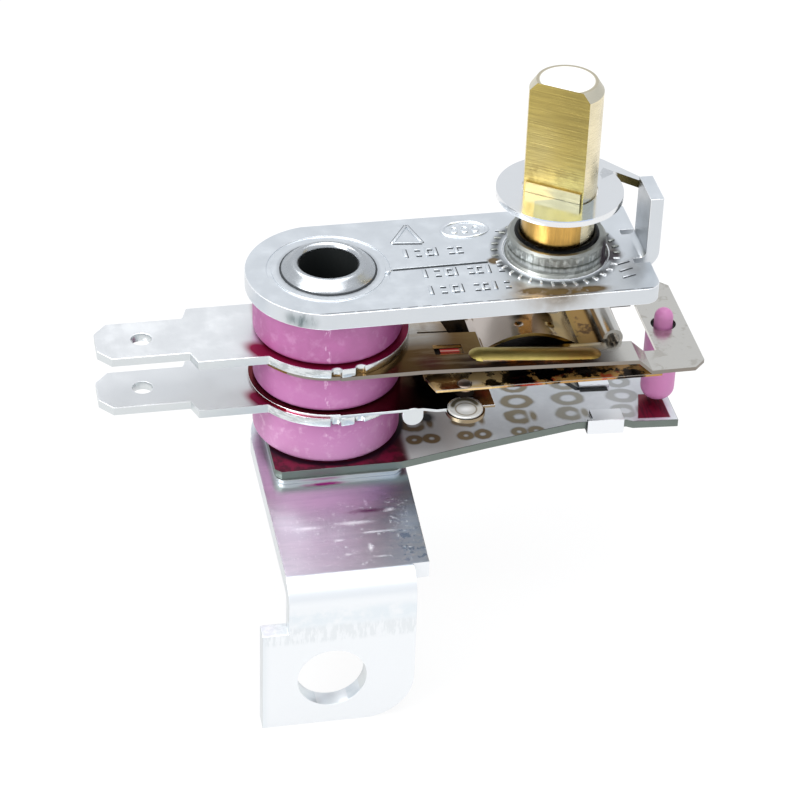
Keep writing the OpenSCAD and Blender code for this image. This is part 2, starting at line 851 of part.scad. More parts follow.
module mounting_bracket() {
    left = -6.4;
    right_back = 6;
    right_front = 5.2;
    flange_right = flange_left + flange_w;
    shoulder_drop = 4.4;
    corner_r = 4;
    bend_y = -flange_y + bend_r;
    color("#dbe0e5")
        difference() {
            union() {
                slab(bracket_z, bracket_t) {
                    circle(d = right_back - left + 0.2);
                    polygon([[left, 0], [left, bend_y], [right_front, bend_y],
                             [right_back, 0]]);
                }
                translate([left, -flange_y, bracket_z])
                    rotate([90, 0, 90])
                        linear_extrude(flange_right - left)
                            bend_section();
                // The flange, drawn in its own plane from the top down
                translate([0, -flange_y + bracket_t, bracket_z])
                    rotate([90, 0, 0])
                        linear_extrude(bracket_t)
                            difference() {
                                union() {
                                    translate([left, -shoulder_drop])
                                        square([flange_right - left, shoulder_drop - bend_r]);
                                    translate([flange_left, -flange_drop])
                                        square([flange_w - corner_r, flange_drop - shoulder_drop]);
                                    translate([flange_left, -flange_drop + corner_r])
                                        square([flange_w, flange_drop - shoulder_drop - corner_r]);
                                    translate([flange_right - corner_r, -flange_drop + corner_r])
                                        circle(corner_r);
                                }
                                translate([flange_hole_x, -flange_hole_drop])
                                    circle(d = bracket_hole_d);
                            }
            }
            rod(stack_hole_d, stack_bottom - over, bracket_z + over);
        }
}

top_plate();
spindle_bush();
seal_ring();
spindle();
stop_disc();
thrust_bead();
eyelet();
upper_ring();
middle_ring();
lower_ring();
upper_terminal();
lower_terminal();
contact_leaf();
upper_arm();
bow_spring();
contact_blade();
moving_contact();
fixed_contact();
push_pin();
bimetal_strip();
bimetal_clip();
backing_plate();
mounting_bracket();
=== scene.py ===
"""Finishes an adjustable oven control switch: rounded sheet edges, real finishes and studio light.

Each group of pieces has its own operator, and main() calls them in order. Blender's lengths are metres;
the sizes, places and patterns written here are millimetres.
"""
import json
import math

import bpy
from mathutils import Matrix, Vector

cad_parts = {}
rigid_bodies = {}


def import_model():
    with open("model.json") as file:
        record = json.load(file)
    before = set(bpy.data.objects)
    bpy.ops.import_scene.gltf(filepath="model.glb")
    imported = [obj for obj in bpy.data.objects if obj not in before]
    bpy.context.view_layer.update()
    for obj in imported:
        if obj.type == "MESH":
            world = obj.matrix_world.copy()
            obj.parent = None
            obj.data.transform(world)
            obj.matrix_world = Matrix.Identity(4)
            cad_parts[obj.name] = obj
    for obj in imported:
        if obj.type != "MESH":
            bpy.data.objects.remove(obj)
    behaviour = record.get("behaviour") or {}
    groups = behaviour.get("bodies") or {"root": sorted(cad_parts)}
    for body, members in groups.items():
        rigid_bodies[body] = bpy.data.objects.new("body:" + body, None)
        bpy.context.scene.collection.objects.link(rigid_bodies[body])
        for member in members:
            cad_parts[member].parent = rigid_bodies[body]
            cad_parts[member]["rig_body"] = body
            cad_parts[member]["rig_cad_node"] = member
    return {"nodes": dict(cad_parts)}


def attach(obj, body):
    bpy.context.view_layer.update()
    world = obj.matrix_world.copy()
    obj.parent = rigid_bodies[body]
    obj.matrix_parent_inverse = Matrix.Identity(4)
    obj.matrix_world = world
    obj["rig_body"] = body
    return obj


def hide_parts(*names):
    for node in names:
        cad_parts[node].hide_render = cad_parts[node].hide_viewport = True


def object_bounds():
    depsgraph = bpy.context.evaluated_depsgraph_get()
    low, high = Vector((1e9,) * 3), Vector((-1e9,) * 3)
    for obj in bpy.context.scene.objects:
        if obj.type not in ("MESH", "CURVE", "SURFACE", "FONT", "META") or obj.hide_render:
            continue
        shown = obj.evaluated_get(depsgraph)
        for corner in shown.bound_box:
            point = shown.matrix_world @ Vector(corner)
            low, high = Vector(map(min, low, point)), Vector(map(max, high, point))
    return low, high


bl_info = {
    "name": "Oven control switch",
    "version": (1, 0, 0),
    "blender": (4, 5, 0),
    "location": "View3D > Sidebar > Control",
    "description": "Finishes and lights an adjustable bimetal control switch",
    "category": "Object",
}

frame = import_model()
CAD_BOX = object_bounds()
NODE_BODY = {n: o["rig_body"] for n, o in frame["nodes"].items()}
MM = 0.001

# Sizes, in millimetres but for the sheet's edge
SPINDLE_X = 18.95
SPINDLE = (SPINDLE_X, 0, 0)
RIVET = (0, 0, 0)
HEAD_R = 3.9
STAKES = 34
STAKE_R = 5.06
DENTS = 46
DENT_R = 4.02
SHEET_EDGE = 0.035 * MM

# Angles: the flat's turn in degrees, and what counts as a sharp edge, a smooth one and a flat face
FLAT_TURN = 235.5
SHARP, SMOOTH, FLAT = (math.radians(angle) for angle in (38, 32, 0.6))


# Settings

class PlateSettings(bpy.types.PropertyGroup):
    """Sizes and colours of the top plate."""
    steel: bpy.props.FloatVectorProperty(
        name="Plate colour", description="Colour of the plated sheet", subtype="COLOR", size=3,
        min=0, max=1, default=(0.66, 0.69, 0.72))
    oil: bpy.props.FloatVectorProperty(
        name="Oil colour", description="Colour of the dried oil round the bush", subtype="COLOR",
        size=3, min=0, max=1, default=(0.2, 0.12, 0.03))
    edge: bpy.props.FloatProperty(
        name="Edge radius", description="Radius of the sheet's edges", default=0.16 * MM,
        min=0.02 * MM, max=0.4 * MM, unit="LENGTH")


class CeramicSettings(bpy.types.PropertyGroup):
    """Colours of the ceramic rings."""
    pink: bpy.props.FloatVectorProperty(
        name="Ceramic colour", description="Colour of the fired rings", subtype="COLOR", size=3,
        min=0, max=1, default=(0.3, 0.085, 0.22))
    edge: bpy.props.FloatProperty(
        name="Edge radius", description="Radius of the rings' edges", default=0.18 * MM,
        min=0.02 * MM, max=0.4 * MM, unit="LENGTH")


class SpindleSettings(bpy.types.PropertyGroup):
    """Colours of the spindle."""
    brass: bpy.props.FloatVectorProperty(
        name="Brass colour", description="Colour of the turned brass", subtype="COLOR", size=3,
        min=0, max=1, default=(0.5, 0.385, 0.115))


class SpringSettings(bpy.types.PropertyGroup):
    """Colours of the heat-tinted spring sheet, from the rivet outwards."""
    bronze: bpy.props.FloatVectorProperty(
        name="Bronze tint", description="Tint of the sheet near the rivet", subtype="COLOR", size=3,
        min=0, max=1, default=(0.2, 0.11, 0.035))
    olive: bpy.props.FloatVectorProperty(
        name="Olive tint", description="Tint of the sheet at its middle", subtype="COLOR", size=3,
        min=0, max=1, default=(0.42, 0.32, 0.13))
    straw: bpy.props.FloatVectorProperty(
        name="Straw tint", description="Tint of the sheet at its tip", subtype="COLOR", size=3,
        min=0, max=1, default=(0.6, 0.58, 0.54))


# Shader groups

def new_group(name, inputs, outputs):
    """A shader node group with its sockets, its input node and its output node."""
    group = bpy.data.node_groups.new(name, "ShaderNodeTree")
    for label, kind, default in inputs:
        socket = group.interface.new_socket(label, in_out="INPUT", socket_type=kind)
        socket.default_value = default
    for label, kind in outputs:
        group.interface.new_socket(label, in_out="OUTPUT", socket_type=kind)
    return group, group.nodes.new("NodeGroupInput"), group.nodes.new("NodeGroupOutput")


def put(tree, kind, settings=None, **sockets):
    """A new node in a tree; sockets are values or other nodes' outputs."""
    node = tree.nodes.new(kind)
    for key, value in (settings or {}).items():
        setattr(node, key, value)
    for key, value in sockets.items():
        name = key.replace("_", " ")
        socket = node.inputs[int(key[1:])] if key[0] == "i" and key[1:].isdigit() else node.inputs[name]
        if isinstance(value, bpy.types.NodeSocket):
            tree.links.new(value, socket)
        else:
            socket.default_value = value
    return node


def sums(tree, operation, *values, clamp=False):
    """The result of one step of arithmetic."""
    inputs = {f"i{n}": value for n, value in enumerate(values)}
    settings = {"operation": operation, "use_clamp": clamp}
    return put(tree, "ShaderNodeMath", settings, **inputs).outputs[0]


def vectors(tree, operation, *values, output="Vector"):
    """The result of one step of arithmetic on vectors."""
    inputs = {f"i{n}": value for n, value in enumerate(values)}
    return put(tree, "ShaderNodeVectorMath", {"operation": operation}, **inputs).outputs[output]


def eased(tree, value, low, high):
    """0 at low and 1 at high, with soft ends."""
    return put(tree, "ShaderNodeMapRange", {"interpolation_type": "SMOOTHSTEP"}, Value=value,
               From_Min=low, From_Max=high).outputs[0]


def object_place(tree):
    """Place on the object, in millimetres."""
    coords = tree.nodes.new("ShaderNodeTexCoord")
    return vectors(tree, "MULTIPLY", coords.outputs["Object"], (1000, 1000, 1000))


def make_grain():
    """Fine drawn lines: a grain value and a bumped normal."""
    group, start, end = new_group(
        "drawn_grain",
        [("Stretch", "NodeSocketVector", (1, 1, 1)), ("Depth", "NodeSocketFloat", 0.1)],
        [("Grain", "NodeSocketFloat"), ("Normal", "NodeSocketVector")])
    pulled = vectors(group, "MULTIPLY", object_place(group), start.outputs["Stretch"])
    noise = put(group, "ShaderNodeTexNoise", Vector=pulled, Scale=1.0, Detail=6.0, Roughness=0.65)
    bump = put(group, "ShaderNodeBump", Strength=start.outputs["Depth"], Distance=0.0001,
               Height=noise.outputs["Fac"])
    group.links.new(noise.outputs["Fac"], end.inputs["Grain"])
    group.links.new(bump.outputs[0], end.inputs["Normal"])
    return group


def make_patches():
    """Soft uneven patches, from 0 to 1."""
    group, start, end = new_group(
        "soft_patches",
        [("Size", "NodeSocketFloat", 1.0), ("Low", "NodeSocketFloat", 0.45),
         ("High", "NodeSocketFloat", 0.6), ("Shift", "NodeSocketVector", (0, 0, 0))],
        [("Mask", "NodeSocketFloat")])
    moved = vectors(group, "ADD", object_place(group), start.outputs["Shift"])
    noise = put(group, "ShaderNodeTexNoise", Vector=moved, Scale=start.outputs["Size"],
                Detail=4.0, Roughness=0.6)
    mask = eased(group, noise.outputs["Fac"], start.outputs["Low"], start.outputs["High"])
    group.links.new(mask, end.inputs["Mask"])
    return group


def make_ring_mask():
    """A soft ring about an upright axis, from 0 to 1."""
    group, start, end = new_group(
        "ring_mask",
        [("Centre", "NodeSocketVector", (0, 0, 0)), ("Radius", "NodeSocketFloat", 5.0),
         ("Width", "NodeSocketFloat", 1.0), ("Waver", "NodeSocketFloat", 0.5),
         ("Squash", "NodeSocketVector", (1, 1, 0))],
        [("Mask", "NodeSocketFloat")])
    place = object_place(group)
    away = vectors(group, "SUBTRACT", place, start.outputs["Centre"])
    squashed = vectors(group, "MULTIPLY", away, start.outputs["Squash"])
    far = vectors(group, "LENGTH", squashed, output="Value")
    noise = put(group, "ShaderNodeTexNoise", Vector=place, Scale=0.9, Detail=3.0)
    wave = sums(group, "MULTIPLY_ADD", noise.outputs["Fac"], start.outputs["Waver"], far)
    off = sums(group, "ABSOLUTE", sums(group, "SUBTRACT", wave, start.outputs["Radius"]))
    group.links.new(eased(group, off, start.outputs["Width"], 0.0), end.inputs["Mask"])
    return group


GROUPS = {}


def effect(tree, name, **values):
    """One of the shader groups, placed in a material."""
    makers = {"grain": make_grain, "patches": make_patches, "ring": make_ring_mask}
    if name not in GROUPS:
        GROUPS[name] = makers[name]()
    node = tree.nodes.new("ShaderNodeGroup")
    node.node_tree = GROUPS[name]
    for key, value in values.items():
        node.inputs[key].default_value = value
    return node


class Finish:
    """A material that is built up layer by layer over one shader."""

    def __init__(self, name, colour, metallic=0.0, roughness=0.5, **fixed):
        self.material = bpy.data.materials.new(name)
        self.material.use_nodes = True
        self.tree = self.material.node_tree
        self.shader = self.tree.nodes["Principled BSDF"]
        self.set("Base Color", (*colour, 1))
        self.set("Metallic", metallic)
        self.set("Roughness", roughness)
        for key, value in fixed.items():
            self.set(key.replace("_", " "), value)

    def set(self, socket, value):
        """A constant on the shader's own socket."""
        self.shader.inputs[socket].default_value = value

    def current(self, socket):
        """What feeds a socket now, or its constant."""
        entry = self.shader.inputs[socket]
        return entry.links[0].from_socket if entry.is_linked else entry.default_value

    def feed(self, socket, output):
        """Links an output into the shader."""
        self.tree.links.new(output, self.shader.inputs[socket])

    def scaled(self, mask, low, high):
        """A mask turned into a value between low and high."""
        return put(self.tree, "ShaderNodeMapRange", Value=mask, To_Min=low, To_Max=high).outputs[0]

    def tint(self, mask, colour, amount=1.0):
        """Mixes a colour over the base where a mask says so."""
        mix = self.tree.nodes.new("ShaderNodeMix")
        mix.data_type = "RGBA"
        self.tree.links.new(sums(self.tree, "MULTIPLY", mask, amount, clamp=True), mix.inputs[0])
        under = self.current("Base Color")
        if isinstance(under, bpy.types.NodeSocket):
            self.tree.links.new(under, mix.inputs[6])
        else:
            mix.inputs[6].default_value = tuple(under)
        mix.inputs[7].default_value = (*colour, 1)
        self.feed("Base Color", mix.outputs[2])

    def vary(self, socket, mask, amount):
        """Adds amount times a mask to a value socket."""
        under = self.current(socket)
        self.feed(socket, sums(self.tree, "MULTIPLY_ADD", mask, amount, under, clamp=True))

    def stain(self, mask, colour, amount, matt):
        """Tints a place and makes it less metallic."""
        self.tint(mask, colour, amount)
        self.vary("Metallic", mask, -matt)

    def grain(self, stretch, depth, rough=0.0, tone=0.0):
        """Drawn lines in the normal, and optionally in roughness and colour."""
        lines = effect(self.tree, "grain", Stretch=stretch, Depth=depth)
        self.feed("Normal", lines.outputs["Normal"])
        if rough:
            centred = self.scaled(lines.outputs["Grain"], -0.5, 0.5)
            self.vary("Roughness", centred, rough)
        if tone:
            self.tint(self.scaled(lines.outputs["Grain"], -0.6, 1.4), (0.02, 0.02, 0.02), tone)

    def patches(self, size, low, high, shift=(0, 0, 0)):
        """A soft patch mask."""
        return effect(self.tree, "patches", Size=size, Low=low, High=high, Shift=shift).outputs[0]

    def ring(self, centre, radius, width, waver, squash=(1, 1, 0)):
        """A ring mask, in millimetres."""
        return effect(self.tree, "ring", Centre=centre, Radius=radius, Width=width, Waver=waver,
                      Squash=squash).outputs[0]

    def spot(self, centre, radius, waver=0.6, squash=(1, 1, 1)):
        """A soft spot mask, in millimetres; a squash above 1 narrows it along an axis."""
        return effect(self.tree, "ring", Centre=centre, Radius=waver / 2, Width=radius, Waver=waver,
                      Squash=squash).outputs[0]

    def along(self, axis, low, high):
        """From 0 to 1 along an axis or a direction, between two places in millimetres."""
        way = axis if isinstance(axis, tuple) else tuple(float(i == axis) for i in range(3))
        reach = vectors(self.tree, "DOT_PRODUCT", object_place(self.tree), way, output="Value")
        return eased(self.tree, reach, low, high)

    def streaks(self, stretch, low, high):
        """A mask of drawn streaks; a small stretch makes them long on that axis."""
        lines = effect(self.tree, "grain", Stretch=stretch, Depth=0.0)
        return eased(self.tree, lines.outputs["Grain"], low, high)

    def band(self, axis, low, high, soft=0.4):
        """1 between two places along an axis, in millimetres, with soft ends."""
        rise = self.along(axis, low - soft, low + soft)
        return self.times(rise, self.along(axis, high + soft, high - soft))

    def times(self, one, other):
        """Two masks multiplied."""
        return sums(self.tree, "MULTIPLY", one, other)


# Mesh helpers

def deselect():
    """Leaves nothing selected."""
    for o in bpy.context.view_layer.objects:
        o.select_set(False)


def select_only(*objects):
    """Selects these objects alone; the first is active."""
    if bpy.context.object and bpy.context.object.mode != "OBJECT":
        bpy.ops.object.mode_set(mode="OBJECT")
    deselect()
    for o in objects:
        o.select_set(True)
    bpy.context.view_layer.objects.active = objects[0]


def apply_modifiers(piece):
    """Applies every modifier of a piece."""
    select_only(piece)
    for m in list(piece.modifiers):
        bpy.ops.object.modifier_apply(modifier=m.name)


def copy_of(node, name):
    """A merged copy of a node's mesh, with flat faces joined, as a free object."""
    source = frame["nodes"][node]
    select_only(source)
    bpy.ops.object.duplicate(linked=False)
    piece = bpy.context.object
    piece.parent = None
    piece.matrix_world = Matrix.Identity(4)
    piece.name = name
    piece.data.name = name
    if "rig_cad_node" in piece:
        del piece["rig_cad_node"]
    piece.data.materials.clear()
    if piece.data.has_custom_normals:
        bpy.ops.mesh.customdata_custom_splitnormals_clear()
    bpy.ops.object.mode_set(mode="EDIT")
    bpy.ops.mesh.select_all(action="SELECT")
    bpy.ops.mesh.remove_doubles(threshold=2e-6)
    bpy.ops.mesh.dissolve_limited(angle_limit=FLAT, delimit=set())
    bpy.ops.mesh.select_all(action="DESELECT")
    bpy.ops.object.mode_set(mode="OBJECT")
    return piece


def round_edges(piece, width, segments=2):
    """Rounds a piece's sharp edges and shades the rest smooth; the rounds take the second material."""
    if width:
        bevel = piece.modifiers.new("Edges", "BEVEL")
        bevel.width = width
        bevel.segments = segments
        bevel.limit_method = "ANGLE"
        bevel.angle_limit = SHARP
        bevel.miter_outer = "MITER_ARC"
        bevel.material = 1 if len(piece.data.materials) > 1 else -1
        apply_modifiers(piece)
    select_only(piece)
    bpy.ops.object.shade_smooth_by_angle(angle=SMOOTH)
    weigh = piece.modifiers.new("Flat faces", "WEIGHTED_NORMAL")
    weigh.keep_sharp = True
    apply_modifiers(piece)


def seat(piece, node):
    """A finished piece takes a node's body."""
    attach(piece, NODE_BODY[node])


def paint(piece, material, test):
    """Gives a material to the faces whose centre, in millimetres, and normal pass a test."""
    piece.data.materials.append(material)
    index = len(piece.data.materials) - 1
    for face in piece.data.polygons:
        if test(face.center / MM, face.normal):
            face.material_index = index


def settle(scale):
    """Scales the new object and brings its place into its mesh."""
    piece = bpy.context.object
    piece.scale = scale
    select_only(piece)
    bpy.ops.object.transform_apply(location=True, rotation=True, scale=True)
    return piece


def bar(size, place, turn=0.0):
    """A small block of a size in millimetres, turned about Z in degrees."""
    deselect()
    bpy.ops.mesh.primitive_cube_add(size=1, location=Vector(place) * MM,
                                    rotation=(0, 0, math.radians(turn)))
    return settle(Vector(size) * MM)


def loop(major, minor, place, scale=(1, 1, 1)):
    """A small ring of round wire, in millimetres."""
    deselect()
    bpy.ops.mesh.primitive_torus_add(
        location=Vector(place) * MM, major_segments=36, minor_segments=8,
        major_radius=major * MM, minor_radius=minor * MM)
    return settle(scale)


def round_spindle(count, radius, height):
    """Places evenly round the spindle, in millimetres, each with its turn in degrees."""
    for i in range(count):
        angle = 2 * math.pi * i / count
        place = (SPINDLE_X + radius * math.cos(angle), radius * math.sin(angle), height)
        yield place, math.degrees(angle)


def trim(pieces, name, node, material, edge=0.0):
    """Small pieces joined into one that rides with a node, with rounded edges."""
    select_only(*pieces)
    bpy.ops.object.join()
    piece = bpy.context.object
    piece.name = name
    piece.data.name = name
    bpy.context.scene.cursor.location = (0, 0, 0)
    bpy.ops.object.origin_set(type="ORIGIN_CURSOR")
    piece.data.materials.clear()
    piece.data.materials.append(material)
    round_edges(piece, edge)
    seat(piece, node)
    return piece


def dress(node, name, finishes, edge, segments=2):
    """A node with rounded edges and its real finish, in place of the plain solid."""
    piece = copy_of(node, name)
    for finish in finishes:
        piece.data.materials.append(finish)
    round_edges(piece, edge, segments)
    seat(piece, node)
    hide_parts(node)
    return piece


# Finishes

def plate_finish():
    """Satin nickel plate with dried oil round the bush, painted shade in the ring of stake marks and
    round the rivet's head, and a painted reflection near its front left corner.
    """
    s = bpy.context.scene.plate_settings
    f = Finish("nickel_plate", s.steel, 1.0, 0.3)
    f.grain((0.5, 9, 9), 0.04, rough=0.12)
    f.vary("Roughness", f.patches(0.5, 0.4, 0.7), 0.08)
    # Painted shade in the recesses between the stake marks round the bush
    f.tint(f.ring(SPINDLE, 5.05, 0.65, 0.2), (0.1, 0.105, 0.11), 0.85)
    # Painted shadow in the gap round the rivet's head
    f.tint(f.ring(RIVET, 4.1, 0.3, 0.1), (0.35, 0.37, 0.39), 0.5)
    f.tint(f.spot((17.4, -6.0, 0), 2.6, 1.4, (0.55, 1.5, 1)), s.oil, 0.75)
    thick_oil = tuple(c * 0.42 for c in s.oil)
    f.stain(f.spot((13.6, -0.75, 0), 0.75, 0.4), thick_oil, 1.8, 1.0)
    f.tint(f.spot((14.9, -4.6, 0), 1.1, 0.8), s.oil, 0.45)
    for x, y, size in ((15.9, -5.6, 1.5), (18.0, -6.1, 1.8), (20.5, -6.0, 1.5)):
        pool = f.times(f.spot((x, y, 0), size, 0.8, (0.65, 1.8, 1)), f.patches(0.9, 0.32, 0.55))
        f.stain(pool, thick_oil, 2.0, 1.2)
    f.tint(f.spot((23.3, 0.3, 0), 1.3, 0.8, (1.5, 0.5, 1)), (0.04, 0.025, 0.012), 0.9)
    f.tint(f.spot((24.6, -3.2, 0), 1.9, 1.0), (0.35, 0.34, 0.33), 0.5)
    line = f.times(f.band(1, -6.55, -6.45, 0.04), f.patches(1.6, 0.4, 0.5))
    f.tint(f.times(line, f.band(2, -0.03, 0.05, 0.02)), (0.1, 0.1, 0.11), 0.9)
    # Painted reflection on the plate's front face near its left corner, with painted dark streaks in it
    mirrored = f.spot((-3.3, -6.1, -0.85), 1.9, 0.3, (1, 1, 1.7))
    f.tint(mirrored, (0.36, 0.41, 0.43), 1.0)
    f.tint(f.times(mirrored, f.streaks((1.6, 1.6, 0.4), 0.42, 0.56)), (0.14, 0.18, 0.19), 0.9)
    f.tint(f.spot((23.6, -1.0, 0), 1.1, 0.6), (0.12, 0.08, 0.05), 0.8)
    f.stain(f.spot((23.2, -1.3, 0), 1.2, 0.5), (0.02, 0.008, 0.015), 2.0, 1.5)
    return f.material


def bright_edge():
    """Bright rounds on plated sheet: a painted highlight along the edges."""
    f = Finish("bright_edge", (0.9, 0.91, 0.92), 1.0, 0.22)
    f.vary("Roughness", f.patches(1.2, 0.4, 0.7), 0.12)
    return f.material


def bracket_finish():
    """Zinc sheet: painted pink reflections of the rings beside the stack, blue grey to its right, with
    pale smears and scratches.
    """
    f = Finish("zinc_sheet", (0.72, 0.77, 0.8), 1.0, 0.3)
    f.tint(f.along(0, 0.5, 4.5), (0.66, 0.77, 0.92), 0.8)
    f.tint(f.streaks((0.25, 1.6, 1), 0.4, 0.65), (0.9, 0.92, 0.95), 0.35)
    white = (0.95, 0.97, 1)
    for x, y, size, pull_x, pull_y, amount in (
            (-3.7, -13.1, 0.6, 0.4, 1.6, 0.72), (0.2, -12.9, 0.65, 0.33, 1.7, 0.72),
            (1.8, -14.3, 0.5, 0.19, 2.2, 0.48), (3.3, -11.6, 0.35, 0.5, 1, 0.72),
            (0.9, -16.3, 0.4, 1.5, 0.5, 0.72), (-1.4, -15.0, 0.3, 0.6, 1.6, 0.64),
            (-1.0, -16.9, 0.3, 0.6, 1.4, 0.64), (1.6, -17.5, 0.35, 0.4, 1.5, 0.64)):
        f.stain(f.spot((x, y, 0), size, 0.5, (pull_x, pull_y, 0)), white, amount, 0.32)
    # Painted pink reflections of the rings
    f.tint(f.spot((-1.3, -7.4, 0), 0.8, 0.4, (0.3, 2.0, 0)), (0.5, 0.04, 0.28), 1.2)
    f.tint(f.spot((1.6, -11.5, 0), 0.8, 0.5, (0.35, 1.8, 0)), (0.3, 0.16, 0.28), 1.0)
    right = f.times(f.along(0, 2, 4), f.band(1, -18.5, -14.2, 0.5))
    f.tint(f.times(f.patches(2.2, 0.52, 0.6), right), (0.3, 0.42, 0.6), 0.8)
    f.tint(f.times(f.patches(2.8, 0.56, 0.62, (4, 0, 0)), right), white, 0.5)
    f.stain(f.times(f.patches(3.5, 0.61, 0.65), f.band(1, -18.5, -10)), white, 0.4, 0.25)
    f.grain((9, 0.5, 0.5), 0.05, rough=0.05)
    return f.material


def flange_finish():
    """Flange of the same zinc sheet, paler than the top as painted light, with a scuffed band below the
    bend.
    """
    f = Finish("flange_sheet", (0.86, 0.88, 0.9), 0.9, 0.38)
    f.tint(f.times(f.band(2, -20.0, -18.4, 0.5), f.patches(0.8, 0.3, 0.6)), (0.74, 0.8, 0.84), 0.7)
    scuff = f.times(f.band(2, -21.6, -20.0, 0.25), f.streaks((3.0, 3.0, 0.7), 0.42, 0.56))
    f.tint(scuff, (0.62, 0.66, 0.68), 0.35)
    f.tint(f.along(0, -7.8, -8.6), (0.74, 0.79, 0.82), 0.6)
    f.grain((7, 0.5, 0.6), 0.06, rough=0.05)
    return f.material


def pad_edge_finish():
    """Cut edge of a terminal's pad: silver with dark streaks."""
    f = Finish("pad_edge", (0.74, 0.77, 0.78), 1.0, 0.25)
    f.tint(f.streaks((0.8, 0.8, 2.5), 0.45, 0.62), (0.36, 0.39, 0.4), 0.6)
    return f.material


def contact_finish():
    """Worn silver contact face with painted shade round its front rim and a painted pale highlight."""
    f = Finish("silver_contact", (0.58, 0.58, 0.56), 0.3, 0.3)
    # Painted shade round the front of the contact's face
    arc = f.times(f.ring((10.4, -6.55, 0), 1.0, 0.34, 0.0), f.along(1, -6.9, -6.2))
    f.tint(arc, (0.09, 0.08, 0.05), 1.4)
    f.tint(f.ring((10.4, -6.95, 0), 0.86, 0.12, 0.0), (0.2, 0.16, 0.1), 0.9)
    # Painted highlight on the contact's face
    f.tint(f.spot((10.4, -6.95, 0), 0.8, 0.0, (0.9, 1.3, 0)), (0.92, 0.92, 0.92), 1.0)
    return f.material


def bush_finish():
    """Dull collar with an oily stain on its right side, a painted line of shade in its groove and a
    painted highlight band below it.
    """
    f = Finish("bush_steel", (0.31, 0.32, 0.3), 1.0, 0.34)
    f.vary("Roughness", f.patches(1.0, 0.4, 0.7), 0.2)
    f.tint(f.times(f.patches(1.6, 0.5, 0.6), f.band(2, 0.1, 1.7, 0.2)), (0.7, 0.72, 0.7), 0.5)
    # Painted shade in the groove round the collar
    f.tint(f.band(2, 0.85, 1.0, 0.06), (0.1, 0.11, 0.09), 0.8)
    # Painted highlight band on the collar
    f.tint(f.band(2, 0.5, 0.75, 0.08), (0.75, 0.77, 0.76), 0.5)
    f.tint(f.spot((22.9, -0.5, 0.9), 0.9, 0.5, (1, 1, 0.7)), (0.17, 0.18, 0.05), 0.9)
    f.stain(f.spot((22.5, -2.1, 0.6), 1.3, 0.5, (1, 1, 0.6)), (0.02, 0.008, 0.015), 2.0, 1.5)
    return f.material


def end_finish():
    """End face of the spindle painted bright as a highlight, with a painted grey-brown line of shade at
    its turned rim.
    """
    f = Finish("spindle_end", (1.0, 0.99, 0.95), 0.4, 0.35)
    f.tint(f.ring(SPINDLE, 2.5, 0.5, 0.0), (0.3, 0.27, 0.2), 1.8)
    return f.material


def disc_finish():
    """Polished disc, with a painted bluish reflection where it mirrors the shaft's flat."""
    f = Finish("disc_steel", (0.8, 0.81, 0.82), 1.0, 0.15)
    f.vary("Roughness", f.patches(1.0, 0.4, 0.7), 0.05)
    # Painted reflection of the shaft's flat
    mirror = f.times(f.band((1, -0.278, 0), 16.9, 21.85, 0.1), f.along(1, -1.5, -1.7))
    mirror = f.times(mirror, f.along(2, 5.9, 6.0))
    f.tint(mirror, (0.5, 0.6, 0.8), 1.0)
    return f.material


def lug_shade_finish():
    """Painted dark olive shade on the front edge of the stop disc's tongue, plain beside the disc."""
    f = Finish("lug_edge_shade", (0.76, 0.77, 0.78), 1.0, 0.25)
    f.tint(f.along(0, 24.0, 24.3), (0.1, 0.08, 0.03), 1.0)
    return f.material


def brass_finish(name, colour, rough, lines, tone):
    """Brass with fine marks across it."""
    f = Finish(name, colour, 1.0, rough)
    f.tint(f.patches(0.45, 0.4, 0.7), tuple(c * 0.75 for c in colour), 0.6)
    f.grain(lines, 0.3, rough=0.25, tone=tone)
    return f.material


def flat_finish():
    """Milled flat: strong cross marks, darker to its upper right."""
    s = bpy.context.scene.spindle_settings
    f = Finish("milled_flat", s.brass, 1.0, 0.32)
    f.tint(f.spot((19.4, -2.4, 14.0), 4.2, 1.5, (1, 1, 0.7)), tuple(c * 0.72 for c in s.brass), 0.8)
    f.tint(f.spot((16.2, -1.0, 9.5), 3.2, 1.5, (1, 1, 0.6)), (0.5, 0.42, 0.19), 0.6)
    f.tint(f.times(f.band(2, 6.4, 8.6, 0.5), f.patches(0.8, 0.4, 0.6)), (0.27, 0.2, 0.06), 0.6)
    f.grain((0.16, 0.16, 8.5), 0.4, rough=0.3, tone=0.5)
    return f.material


